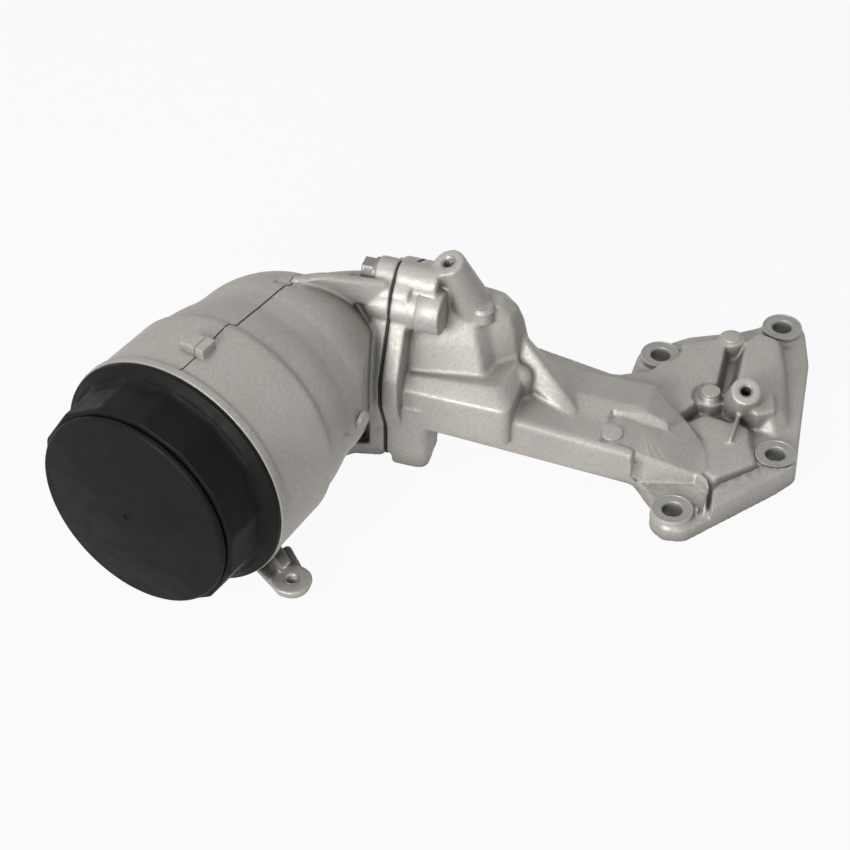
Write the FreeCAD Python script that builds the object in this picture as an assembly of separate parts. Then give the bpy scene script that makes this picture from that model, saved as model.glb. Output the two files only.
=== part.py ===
import FreeCAD, Part
import math
import os

os.makedirs("parts", exist_ok=True)
V = FreeCAD.Vector

# Frame: millimetres, +Z up. Z = 0 is the machined face that bolts to the engine block and the
# origin is the middle of its four bolt holes. +X is square to the joint between the two
# castings and points from the filter bowl to the mounting plate.

# Bowl axis: level, turned in plan, through AXIS_AT at the front plane of the cap flange.
BOWL_TURN = 75.0
BOWL_Z = 66.0
AXIS_AT = V(-239.4, -195.6, BOWL_Z)

# Stations along the bowl axis, measured inwards from the cap flange plane.
RIM_T = 1.2
COLLAR_T = 6.0
SHOULDER_T = 52.0
NECK_T = 75.0
DOME_T = 87.0
DOME_DEEP = 58.0

# Radii of the bowl casting.
RIM_R = 65.2
COLLAR_DROP = 0.9
SHOULDER_R = 63.2
SHOULDER_DROP = 2.6
SHOULDER_ROUND = 7.0
NECK_R = 56.2
DOME_R = 54.6
CAVITY_R = 48.5
CAVITY_T = 80.0
CAVITY_DEEP = 52.0
THREAD_R = 61.2
THREAD_LONG = 25.0
LAND_R = 59.7
LAND_END = 42.0

# Clearances shared by the loose pieces.
RUN = 0.35
THREAD_GAP = 0.5
SEAL_GAP = 0.25

# Screw cap.
CAP_FLANGE_R = 64.8
CAP_FLANGE_T = 5.0
SEAT_GAP = 0.2
HEX_CORNER_R = 58.0
HEX_TURN = 23.5
HEX_ROUND = 4.0
HEX_FRONT_T = -31.0
DISC_R = 54.9
DISC_T = 5.0
DISC_RISE = 5.2
CAP_WALL = 4.2
CAP_END = 38.0
SEAL_R = 1.45
GROOVE_T = 31.0
GROOVE_W = 4.0
FINGERS = 6

# Filter element.
ELEMENT_R = 44.0
TOP_DISC_T = -24.0
BOTTOM_DISC_T = 90.0
DISC_THICK = 2.5
PLEATS = 44
PLEAT_OUT = 42.2
PLEAT_IN = 21.0
PAPER = 0.9
TUBE_R = 18.6
TUBE_WALL = 1.6
TUBE_ROWS = 6
TUBE_BARS = 6
TUBE_BAR_W = 4.0
TUBE_HOOP = 3.0
COLLAR_R = 29.0

# Standpipe with its bypass valve.
PIPE_R = 12.0
PIPE_BORE = 9.4
PIPE_TOP = -27.0
PIPE_END = 123.0
PIPE_SEAT = 116.0
SEAT_BOSS_R = 18.0
BYPASS_LIFT = 5.0
BYPASS_DISC_R = 7.6
BYPASS_WIRE = 0.7
BYPASS_COIL_R = 5.6
BYPASS_TURNS = 5.0

# Drain spigot of the element, below the axis; its ring seal shuts the drain bore of the bowl.
DRAIN_DOWN = 30.0
DRAIN_R = 5.0
DRAIN_END = 130.0
SPIGOT_R = 3.4
SPIGOT_IN = 7.0
SPIGOT_SEAL = 2.0

# Joint between the castings.
JOINT_X = -165.0
GASKET = 1.0
BOWL_FLANGE = 9.0
HOOD_FLANGE = 9.0
JOINT_BOLTS = ((-70.0, 13.0), (-61.0, 107.5), (-15.5, 72.0), (-10.0, 22.0))
HEAD_SEATS = (3.0, 1.5, 4.0, 4.0)
BOLT_BOSS_R = 9.8
TAP_DEEP = 19.5
GALLERY_BOSS = (-67.0, 95.5)
BOLT_R = 4.0
BOLT_HOLE_R = 4.5
BOLT_HEAD_AF = 13.0
BOLT_HEAD_H = 6.5
BOLT_FLANGE_R = 8.5
BOSS_R = 12.3
BOSS_LONG = 26.0
DOWELS = ((-82.0, 66.0), (-8.0, 50.0))
DOWEL_R = 4.0
DOWEL_LONG = 12.0
IN_PORT = (-52.0, 78.0)
OUT_PORT = (-68.0, 52.0)
DRAIN_PORT = (-44.0, 22.0)
IN_PORT_R = 10.0
OUT_PORT_R = 9.0
DRAIN_PORT_R = 3.6
IN_DUCT_R = 6.5

# Mounting plate.
PLATE_T = 8.0
PAD_H = 12.0
PAD_R = 11.0
HOLE_R = 5.5
HOLE_A = (-43.6, 33.8)
HOLE_B = (15.0, 78.3)
HOLE_C = (35.1, -26.5)
HOLE_D = (-6.5, -85.5)
PORT_IN = (-30.0, -20.0)
PORT_OUT = (-24.0, -50.0)
PORT_BACK = (-52.0, -34.0)
PORT_R = 7.0
PORT_DEEP = 17.0
ORING_IN = 8.7
ORING_OUT = 11.5
ORING_DEEP = 1.9
ORING_WIRE = 0.9

# Non-return valve in the inlet port.
CAGE_H = 14.0
RETURN_LIFT = 4.0

# Height of the arm and of the hood.
WALL_Y = -84.0
HOOD_TOP = 91.0
HOOD_WALL_TOP = 51.0
ARM_UNDER = 27.0


def spot(up, side, along):
    """Point in the bowl frame: up, towards the joint, inwards along the axis."""
    a = math.radians(BOWL_TURN)
    x = AXIS_AT.x + side * math.sin(a) + along * math.cos(a)
    y = AXIS_AT.y - side * math.cos(a) + along * math.sin(a)
    return V(x, y, AXIS_AT.z + up)


def in_bowl(shape):
    """Turn a shape drawn with the bowl axis on Z, up on X, into its place."""
    a = math.radians(BOWL_TURN)
    rot = FreeCAD.Rotation(V(0, 0, 1), V(math.sin(a), -math.cos(a), 0), V(math.cos(a), math.sin(a), 0), "ZXY")
    turned = shape.copy()
    turned.Placement = FreeCAD.Placement(AXIS_AT, rot).multiply(turned.Placement)
    return turned


def spun(points):
    """Solid of revolution about Z from (radius, station) corner points."""
    corners = [V(r, 0, t) for r, t in points]
    corners.append(corners[0])
    face = Part.Face(Part.makePolygon(corners))
    return face.revolve(V(0, 0, 0), V(0, 0, 1), 360)


def ring(r_out, r_in, t0, t1):
    """Plain ring about Z between two stations."""
    solid = Part.makeCylinder(r_out, t1 - t0, V(0, 0, t0))
    return solid.cut(Part.makeCylinder(r_in, t1 - t0 + 2, V(0, 0, t0 - 1)))


def rounded(points, radius, place):
    """Closed wire through corner points with every corner rounded by a true arc."""
    count = len(points)
    edges = []
    starts = []
    ends = []
    mids = []
    for i in range(count):
        p = V(points[i][0], points[i][1], 0)
        a = V(points[i - 1][0], points[i - 1][1], 0)
        b = V(points[(i + 1) % count][0], points[(i + 1) % count][1], 0)
        r = radius[i] if isinstance(radius, (list, tuple)) else radius
        u = (a - p).normalize()
        w = (b - p).normalize()
        half = math.acos(max(-1.0, min(1.0, u.dot(w)))) / 2
        reach = r / math.tan(half)
        bisect = (u + w).normalize()
        centre = p + bisect * (r / math.sin(half))
        starts.append(p + u * reach)
        ends.append(p + w * reach)
        mids.append(centre - bisect * r)
    for i in range(count):
        edges.append(Part.Arc(place(starts[i]), place(mids[i]), place(ends[i])).toShape())
        edges.append(Part.LineSegment(place(ends[i]), place(starts[(i + 1) % count])).toShape())
    return Part.Wire(edges)


def flat(z):
    """Placer for outlines drawn in plan at height z."""
    return lambda p: V(p.x, p.y, z)


def cross(x):
    """Placer for outlines drawn as (y, z) in a plane square to X."""
    return lambda p: V(x, p.x, p.y)


def slab(points, radius, z0, z1):
    """Upright prism with rounded corners."""
    return Part.Face(rounded(points, radius, flat(z0))).extrude(V(0, 0, z1 - z0))


def loft(wires):
    """Ruled solid through matching outlines."""
    return Part.makeLoft(wires, True, True)


def rod(p, q, r):
    """Round bar from p to q."""
    return Part.makeCylinder(r, (q - p).Length, p, q - p)


def gallery(points, r):
    """Bored passage with ball ends at the bends."""
    solid = rod(points[0], points[1], r)
    for i in range(1, len(points) - 1):
        solid = solid.fuse(Part.makeSphere(r, points[i]))
        solid = solid.fuse(rod(points[i], points[i + 1], r))
    return solid


def cone_post(foot, face, r_foot, r_face):
    """Tapered post from its root to its machined face."""
    return Part.makeCone(r_foot, r_face, (face - foot).Length, foot, face - foot)


def superwire(centre, side, up, half_w, half_h, power, count=16):
    """Closed smooth section through points of a superellipse."""
    pts = []
    for i in range(count):
        a = 2 * math.pi * i / count
        c = math.cos(a)
        s = math.sin(a)
        x = math.copysign(abs(c) ** (2 / power), c) * half_w
        y = math.copysign(abs(s) ** (2 / power), s) * half_h
        pts.append(centre + side * x + up * y)
    curve = Part.BSplineCurve()
    curve.interpolate(Points=pts, PeriodicFlag=True)
    return Part.Wire(curve.toShape())


FLANGE_LINE = (
    (-84.0, 0.5),
    (-84.0, 24.0),
    (-93.5, 46.0),
    (-93.5, 62.0),
    (-79.0, 92.0),
    (-76.0, 107.0),
    (-62.0, 118.0),
    (-50.0, 110.0),
    (-38.0, 99.0),
    (-17.0, 87.0),
    (0.0, 62.0),
    (2.0, 22.0),
    (-10.0, 9.0),
    (-58.0, 0.5),
)
FLANGE_ROUND = (8, 14, 14, 16, 8, 8, 8, 6, 8, 10, 16, 10, 10, 14)


def joint_plate(x0, x1):
    """Flange of the joint between two planes; the outline is shared by both castings."""
    return Part.Face(rounded(FLANGE_LINE, FLANGE_ROUND, cross(x0))).extrude(V(x1 - x0, 0, 0))


def bolt_bores(x0, x1, r):
    """Bores for the joint bolts between two planes."""
    bores = [Part.makeCylinder(r, x1 - x0, V(x0, y, z), V(1, 0, 0)) for y, z in JOINT_BOLTS]
    return Part.makeCompound(bores)


def bowl_outer():
    """Outside of the filter bowl as one turned body with its domed end."""
    end = DOME_T + DOME_DEEP
    pts = [V(0, 0, RIM_T), V(RIM_R, 0, RIM_T), V(RIM_R, 0, COLLAR_T)]
    pts.append(V(RIM_R - COLLAR_DROP, 0, COLLAR_T + COLLAR_DROP))
    pts.append(V(SHOULDER_R, 0, SHOULDER_T - SHOULDER_ROUND))
    edges = [Part.LineSegment(pts[i], pts[i + 1]).toShape() for i in range(len(pts) - 1)]
    # the round end of the wall, and the crease where the neck starts
    crease = V(SHOULDER_R - SHOULDER_DROP, 0, SHOULDER_T)
    belly = V(SHOULDER_R - 0.30 * SHOULDER_DROP, 0, SHOULDER_T - 0.35 * SHOULDER_ROUND)
    edges.append(Part.Arc(pts[-1], belly, crease).toShape())
    shoulder = Part.BSplineCurve()
    mid = V((crease.x + NECK_R) / 2 + 0.5, 0, (SHOULDER_T + NECK_T) / 2 + 1.5)
    shoulder.interpolate([crease, V(crease.x - 0.5, 0, SHOULDER_T + 6), mid, V(NECK_R, 0, NECK_T)])
    edges.append(shoulder.toShape())
    edges.append(Part.LineSegment(V(NECK_R, 0, NECK_T), V(DOME_R, 0, DOME_T)).toShape())
    dome = Part.BSplineCurve()
    arc = []
    for deg in (0, 22, 45, 66, 90):
        a = math.radians(deg)
        arc.append(V(DOME_R * math.cos(a), 0, DOME_T + DOME_DEEP * math.sin(a)))
    dome.interpolate(arc)
    edges.append(dome.toShape())
    edges.append(Part.LineSegment(V(0, 0, end), V(0, 0, RIM_T)).toShape())
    face = Part.Face(Part.Wire(edges))
    return in_bowl(face.revolve(V(0, 0, 0), V(0, 0, 1), 360))


def bowl_cavity():
    """Inside of the bowl: thread, seal land, tapered lead, bore and round bottom."""
    body = spun((
        (0, RIM_T - 1),
        (THREAD_R + 1.2, RIM_T - 1),
        (THREAD_R + 1.2, RIM_T),
        (THREAD_R, RIM_T + 1.2),
        (THREAD_R, RIM_T + THREAD_LONG),
        (LAND_R, RIM_T + THREAD_LONG + 1.5),
        (LAND_R, LAND_END),
        (CAVITY_R + 3, LAND_END + 14),
        (CAVITY_R, CAVITY_T - 14),
        (CAVITY_R, CAVITY_T),
        (0, CAVITY_T),
    ))
    arc = [V(CAVITY_R, 0, 0)]
    for deg in (30, 60, 90):
        a = math.radians(deg)
        arc.append(V(CAVITY_R * math.cos(a), 0, CAVITY_DEEP * math.sin(a)))
    curve = Part.BSplineCurve()
    curve.interpolate(arc)
    edges = [curve.toShape(), Part.LineSegment(arc[-1], V(0, 0, 0)).toShape()]
    edges.append(Part.LineSegment(V(0, 0, 0), arc[0]).toShape())
    bottom = Part.Face(Part.Wire(edges)).revolve(V(0, 0, 0), V(0, 0, 1), 360)
    bottom.translate(V(0, 0, CAVITY_T))
    room = body.fuse(bottom)
    seat = Part.makeCylinder(SEAT_BOSS_R, 60, V(0, 0, PIPE_SEAT))
    room = room.cut(seat)
    drain = Part.makeCylinder(DRAIN_R + 5.0, 60, V(-DRAIN_DOWN, 0, PIPE_SEAT))
    return in_bowl(room.cut(drain))


def elbow():
    """Duct body from the bowl round to the joint flange, lofted through four sections."""
    back = JOINT_X - GASKET / 2 - BOWL_FLANGE + 1
    up = V(0, 0, 1)
    turn = math.radians(BOWL_TURN)
    axis = V(math.cos(turn), math.sin(turn), 0)
    s1 = superwire(spot(0, 2, 88), V(axis.y, -axis.x, 0), up, 48.0, 53.0, 2.0)
    mid = V(-204.0, -92.0, 63.0)
    way = V(math.cos(math.radians(48)), math.sin(math.radians(48)), 0)
    s2 = superwire(mid, V(way.y, -way.x, 0), up, 40.0, 49.5, 2.0)
    knee = V(-190.0, -68.0, 57.0)
    way = V(math.cos(math.radians(20)), math.sin(math.radians(20)), 0)
    s3 = superwire(knee, V(way.y, -way.x, 0), up, 32.0, 46.0, 2.2)
    s4 = superwire(V(back, -57.0, 54.0), V(0, -1, 0), up, 29.0, 45.0, 2.3)
    return Part.makeLoft([s1, s2, s3, s4], True, False)


def near_side():
    """Space beside the joint that the bowl must leave free for the bracket."""
    pts = ((-158.5, -150.0), (-172.2, -86.0), (-172.2, -40.0), (-100.0, -40.0), (-100.0, -150.0))
    return slab(pts, 1.0, -10, 140)


def bowl_casting():
    body = bowl_outer().cut(near_side())
    body = body.fuse(elbow())
    face = JOINT_X - GASKET / 2
    body = body.fuse(joint_plate(face - BOWL_FLANGE, face))
    # cast ribs over the elbow, the foot web under it and the bolt bosses of the flange
    top = loft([
        rounded(((-95, 108), (-88, 108), (-88, 123.2), (-95, 123.2)), 1.5, cross(-213)),
        rounded(((-74, 96), (-68.5, 96), (-68.5, 112), (-74, 112)), 1.5, cross(face - 2)),
    ])
    body = body.fuse(top)
    foot = slab(((-200, -96), (-189, -93), (-182, -86), (-166.5, -82.5), (-166.5, -58), (-200, -58)), 3.0, 0.5, 8.5)
    body = body.fuse(foot)
    web = slab(((-196, -92), (-190, -92), (-167, -64), (-178, -60)), 2.0, 6, 40)
    body = body.fuse(web)
    for (y, z), long in zip(JOINT_BOLTS, HEAD_SEATS):
        body = body.fuse(Part.makeCylinder(BOLT_BOSS_R, long + BOWL_FLANGE, V(face, y, z), V(-1, 0, 0)))
    y, z = GALLERY_BOSS
    body = body.fuse(Part.makeCylinder(BOSS_R, 12.0, V(face, y, z), V(-1, 0, 0)))
    body = body.fuse(Part.makeCone(BOSS_R, 5.0, 16.0, V(face - 12.0, y, z), V(-1, -0.15, -0.2)))
    # parting lug with its two gates on top of the bowl
    lug = Part.makeBox(9.4, 11.0, 14.0, V(RIM_R - 6.0, -11.5, 14.5))
    lug = lug.fuse(Part.makeBox(8.2, 5.0, 5.0, V(RIM_R - 6.0, -13.5, 13.0)))
    seam = Part.makeBox(7.6, 1.4, SHOULDER_T - SHOULDER_ROUND - COLLAR_T, V(RIM_R - 8.2, 0.0, COLLAR_T + 1.5))
    body = body.fuse(in_bowl(lug)).fuse(in_bowl(seam))
    # two oval ejector pads on the side towards the joint
    for t in (66, 86):
        pad = Part.makeCylinder(4.4, 6.0, V(0, 0, 0), V(0, 1, 0))
        pad.translate(V(-1.0, 51.5 if t > 80 else 53.0, t))
        body = body.fuse(in_bowl(pad))
    # lower lug with its threaded boss
    boss_at = spot(-53.0, 61.5, 13.0)
    boss_at.z = 8.0
    boss = Part.makeCone(9.0, 11.0, 6.0, boss_at, V(0, 0, 1))
    root = spot(0, 40.0, 20.0)
    far = spot(0, 44.0, 36.0)
    arm = slab(
        ((root.x - 4, root.y - 6), (boss_at.x - 4, boss_at.y - 8), (boss_at.x + 9, boss_at.y + 4), (far.x, far.y)),
        2.0, 7.0, 11.5,
    )
    stay = slab(
        ((root.x, root.y), (boss_at.x - 2, boss_at.y - 3), (boss_at.x + 3, boss_at.y), (far.x - 8, far.y - 4)),
        1.0, 10.0, 22.0,
    )
    stay = stay.common(in_bowl(Part.makeCylinder(RIM_R + 9.0, 60, V(0, 0, 0))))
    body = body.fuse(boss).fuse(arm).fuse(stay)
    # hollow it
    body = body.cut(bowl_cavity())
    out_start = spot(0, 0, 132)
    out_port = V(face + 1, OUT_PORT[0], OUT_PORT[1])
    body = body.cut(gallery((out_start, V(-189, -66.5, 60), out_port), OUT_PORT_R))
    body = body.cut(in_bowl(Part.makeCylinder(PIPE_R - 2.0, 16.0, V(0, 0, PIPE_SEAT + 2))))
    body = body.cut(in_bowl(Part.makeCylinder(PIPE_R, PIPE_END - PIPE_SEAT + 1, V(0, 0, PIPE_SEAT - 1))))
    in_port = V(face + 1, IN_PORT[0], IN_PORT[1])
    body = body.cut(gallery((in_port, V(-178, -62, 84), spot(22, 12, 108)), IN_PORT_R))
    bore = Part.makeCylinder(DRAIN_R, DRAIN_END - PIPE_SEAT + 1, V(-DRAIN_DOWN, 0, PIPE_SEAT - 1))
    body = body.cut(in_bowl(bore))
    drain_start = spot(-DRAIN_DOWN, 0, DRAIN_END - DRAIN_PORT_R)
    drain_port = V(face + 1, DRAIN_PORT[0], DRAIN_PORT[1])
    body = body.cut(gallery((drain_start, drain_port), DRAIN_PORT_R))
    body = body.cut(bolt_bores(face - 16, face + 1, BOLT_HOLE_R))
    for (y, z), long in zip(JOINT_BOLTS, HEAD_SEATS):
        spot_face = V(face - BOWL_FLANGE - long, y, z)
        body = body.cut(Part.makeCylinder(BOLT_FLANGE_R + 0.8, 16, spot_face, V(-1, 0, 0)))
    for y, z in DOWELS:
        body = body.cut(Part.makeCylinder(DOWEL_R, DOWEL_LONG / 2, V(face, y, z), V(-1, 0, 0)))
    body = body.cut(Part.makeCylinder(3.3, 12.0, boss_at - V(0, 0, 2.0)))
    return body.removeSplitter()


def joint_bolts():
    """Flange bolts from the bowl side, one solid each."""
    face = JOINT_X - GASKET / 2
    made = []
    for (y, z), long in zip(JOINT_BOLTS, HEAD_SEATS):
        x0 = face - BOWL_FLANGE - long
        shank = Part.makeCylinder(BOLT_R, long + BOWL_FLANGE + GASKET + TAP_DEEP - 2.0, V(x0, y, z), V(1, 0, 0))
        collar = Part.makeCylinder(BOLT_FLANGE_R, 1.6, V(x0, y, z), V(-1, 0, 0))
        corner = BOLT_HEAD_AF / 2 / math.cos(math.radians(30))
        pts = []
        for i in range(7):
            a = math.radians(60 * i)
            pts.append(V(x0 - 1.6, y + corner * math.cos(a), z + corner * math.sin(a)))
        head = Part.Face(Part.makePolygon(pts)).extrude(V(-BOLT_HEAD_H, 0, 0))
        made.append(shank.fuse(collar).fuse(head).removeSplitter())
    return Part.makeCompound(made)


def joint_gasket():
    """Flat gasket cut to the shared outline with its ports and bolt holes."""
    x0 = JOINT_X - GASKET / 2
    body = joint_plate(x0, x0 + GASKET)
    body = body.cut(bolt_bores(x0 - 1, x0 + 3, BOLT_HOLE_R + 0.2))
    ports = ((IN_PORT, IN_PORT_R), (OUT_PORT, OUT_PORT_R), (DRAIN_PORT, DRAIN_PORT_R))
    for (y, z), r in ports:
        body = body.cut(Part.makeCylinder(r, 4, V(x0 - 1, y, z), V(1, 0, 0)))
    for y, z in DOWELS:
        body = body.cut(Part.makeCylinder(DOWEL_R + 0.35, 4, V(x0 - 1, y, z), V(1, 0, 0)))
    return body


def locating_dowels():
    """Two hollow dowels that line the castings up."""
    made = []
    for y, z in DOWELS:
        sleeve = Part.makeCylinder(DOWEL_R, DOWEL_LONG - 0.4, V(JOINT_X - DOWEL_LONG / 2 + 0.2, y, z), V(1, 0, 0))
        bore = Part.makeCylinder(DOWEL_R - 1.2, DOWEL_LONG + 2, V(JOINT_X - DOWEL_LONG, y, z), V(1, 0, 0))
        made.append(sleeve.cut(bore))
    return Part.makeCompound(made)


TOWER = (
    (57.0, (-76, (-116, -67), (-113, -54), (-104, -45), (-103, -28), (-112, -12), -10)),
    (73.0, (-72, (-121, -62), (-117, -52), (-106, -46), (-104, -33), (-114, -20), -16)),
    (84.5, (-67, (-125, -57), (-120, -50), (-109, -46), (-106, -37), (-117, -28), -24)),
    (91.0, (-63, (-127, -56), (-122, -50), (-114, -48), (-112, -41), (-120, -35), -30)),
)
TOWER_ROUND = (1, 3, 4, 3, 3.4, 4, 5)


def hood():
    """Hood over the joint: a low wall, a drawn-in shoulder and a tower with a fluted right side."""
    face = JOINT_X + GASKET / 2
    x0 = face + 2
    line = ((x0, WALL_Y), (-97, WALL_Y), (-98, -54), (-106, -32), (-116, -4), (x0, 0))
    low = slab(line, (1, 6, 8, 8, 10, 1), ARM_UNDER, HOOD_WALL_TOP)
    shoulder = loft([
        rounded(line, (1, 6, 8, 8, 10, 1), flat(HOOD_WALL_TOP)),
        rounded(((x0, -77), (-106, -73), (-103, -50), (-107, -32), (-117, -8), (x0, -6)), (1, 6, 8, 8, 8, 1), flat(HOOD_WALL_TOP + 6.5)),
    ])
    sections = []
    for z, (front, b, c, d, e, f, rear) in TOWER:
        sections.append(rounded(((x0, front), b, c, d, e, f, (x0, rear)), TOWER_ROUND, flat(z)))
    tower = Part.makeLoft(sections, True, True)
    lobe = Part.makeCylinder(7.6, 24.0, V(-101.5, -51.0, 24.0)).fuse(Part.makeSphere(7.6, V(-101.5, -51.0, 48.0)))
    return low.fuse(shoulder).fuse(tower).fuse(lobe)


ARM_ROOT = ((-84, 27), (-84, 50.5), (-60, 49), (-48, 44), (-14, 30), (-12, 8), (-40, 3))
ARM_END = ((-67, 4), (-68, 27), (-50, 26), (-34, 31), (-9, 27), (1, 3), (-30, 1))
ARM_TIP = ((-74, 2), (-70, 8), (-60, 15), (-50, 14), (-34, 11), (-27, 2), (-50, 1))
ARM_X = (-140.0, -36.0, 2.0)


def arm():
    """Arm with its duct body: a tapered hull with a ledge along the front and a ridge behind it,
    lofted from the hood down to the plate, and the gusset that runs out from the tower."""
    root = rounded(ARM_ROOT, (3, 3, 6, 4, 8, 4, 8), cross(ARM_X[0]))
    end = rounded(ARM_END, (2, 4, 4, 4, 6, 3, 8), cross(ARM_X[1]))
    tip = rounded(ARM_TIP, (0.8, 2, 2, 2, 2, 0.8, 6), cross(ARM_X[2]))
    gusset = loft([
        rounded(((-52, 22), (-46, 50), (-34, 68), (-27, 60), (-22, 22)), (2, 3, 2, 2, 2), cross(-107)),
        rounded(((-60, 20), (-57, 33), (-51, 35), (-32, 27), (-30, 20)), (2, 2, 2, 2, 2), cross(-69)),
    ])
    return loft([root, end]).fuse(loft([end, tip])).fuse(gusset)


PLATE_LINE = (
    (-122.0, -30.0),
    (-122.0, 25.0),
    (-66.0, 14.0),
    (-56.0, 16.0),
    (-56.5, 36.0),
    (-44.0, 47.5),
    (-33.0, 58.0),
    (-7.0, 71.5),
    (4.0, 80.0),
    (14.0, 91.5),
    (27.0, 84.0),
    (35.5, 56.0),
    (42.0, 8.0),
    (48.0, -33.0),
    (41.0, -45.0),
    (3.0, -96.5),
    (-10.0, -99.0),
    (-19.5, -78.0),
    (-38.0, -58.0),
    (-70.0, -44.0),
)
PLATE_ROUND = (4, 4, 8, 3, 11, 5, 8, 6, 3, 11, 11, 14, 20, 8, 8, 10, 6, 6, 6, 8)


def relief():
    """Raised fields, pocket walls and ribs on the outer side of the mounting plate."""
    z0 = PLATE_T - 1
    left = loft([
        rounded(((-62, -34), (-62, 8), (-46, 16), (-37, 46), (-9, 62), (-4, 16), (-14, -10), (-22, -32)),
                (3, 4, 6, 6, 4, 5, 5, 5), flat(z0)),
        rounded(((-60, -32), (-60, 4), (-44, 12), (-32, 41), (-11, 53), (-7, 12), (-16, -8), (-26, -27)),
                (3, 4, 6, 5, 3, 4, 4, 4), flat(17)),
    ])
    right = loft([
        rounded(((0, 10), (-4, 56), (2, 70), (19, 68), (28, 40), (38, 0), (33, -10), (10, -6)),
                (4, 4, 4, 5, 20, 6, 4, 4), flat(z0)),
        rounded(((4, 10), (0, 54), (5, 64), (16, 61), (24, 38), (31, 4), (27, -4), (12, -2)),
                (3, 3, 3, 4, 18, 4, 3, 3), flat(16)),
    ])
    fan = loft([
        rounded(((-46, -56), (-46, -16), (-22, -22), (-8, -4), (20, -8), (25, -24), (31, -39), (9, -61), (-8, -54)),
                (3, 3, 4, 4, 4, 4, 4, 3, 6), flat(z0)),
        rounded(((-44, -52), (-44, -19), (-22, -26), (-8, -9), (16, -12), (20, -26), (26, -38), (9, -56), (-8, -49)),
                (3, 3, 3, 3, 3, 3, 3, 2, 5), flat(13)),
    ])
    # the wall that runs from the end of the duct round the lower bolt pad
    spine = loft([
        rounded(((-8, -67), (-6, -50), (9, -56), (13, -81), (6, -84), (-1, -71)), (2, 3, 3, 1.4, 1.4, 4), flat(z0)),
        rounded(((-6, -64), (-5, -54), (5, -59), (9, -78), (6, -79), (1, -68)), (1.5, 2, 2, 0.8, 0.8, 3), flat(14.5)),
    ])
    body = left.fuse(right).fuse(fan).fuse(spine)
    rib = slab(((8.6, -3), (11.2, -3), (11.4, -28), (9.0, -28)), 0.8, z0, 16.5)
    gusset = slab(((12, 12), (24, 15), (29, -2), (20, -8), (10, -4)), 2.0, z0, 20)
    return body.fuse(rib).fuse(gusset)


def plate():
    """Mounting plate: web, four bolt pads and the threaded and blind bosses."""
    body = slab(PLATE_LINE, PLATE_ROUND, 0, PLATE_T)
    body = body.fuse(relief())
    for x, y in (HOLE_A, HOLE_B, HOLE_C, HOLE_D):
        body = body.fuse(Part.makeCone(PAD_R + 0.8, PAD_R, PAD_H, V(x, y, 0), V(0, 0, 1)))
    for x, y, z in ((-8.5, 53.5, 17.5), (-8.0, 3.0, 20.0)):
        body = body.fuse(Part.makeCone(8.6, 7.2, z, V(x, y, 0), V(0, 0, 1)))
    post = cone_post(V(9.0, 10.0, 4.0), V(11.9, -2.5, 30.0), 13.0, 8.2)
    return body.fuse(post)


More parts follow.
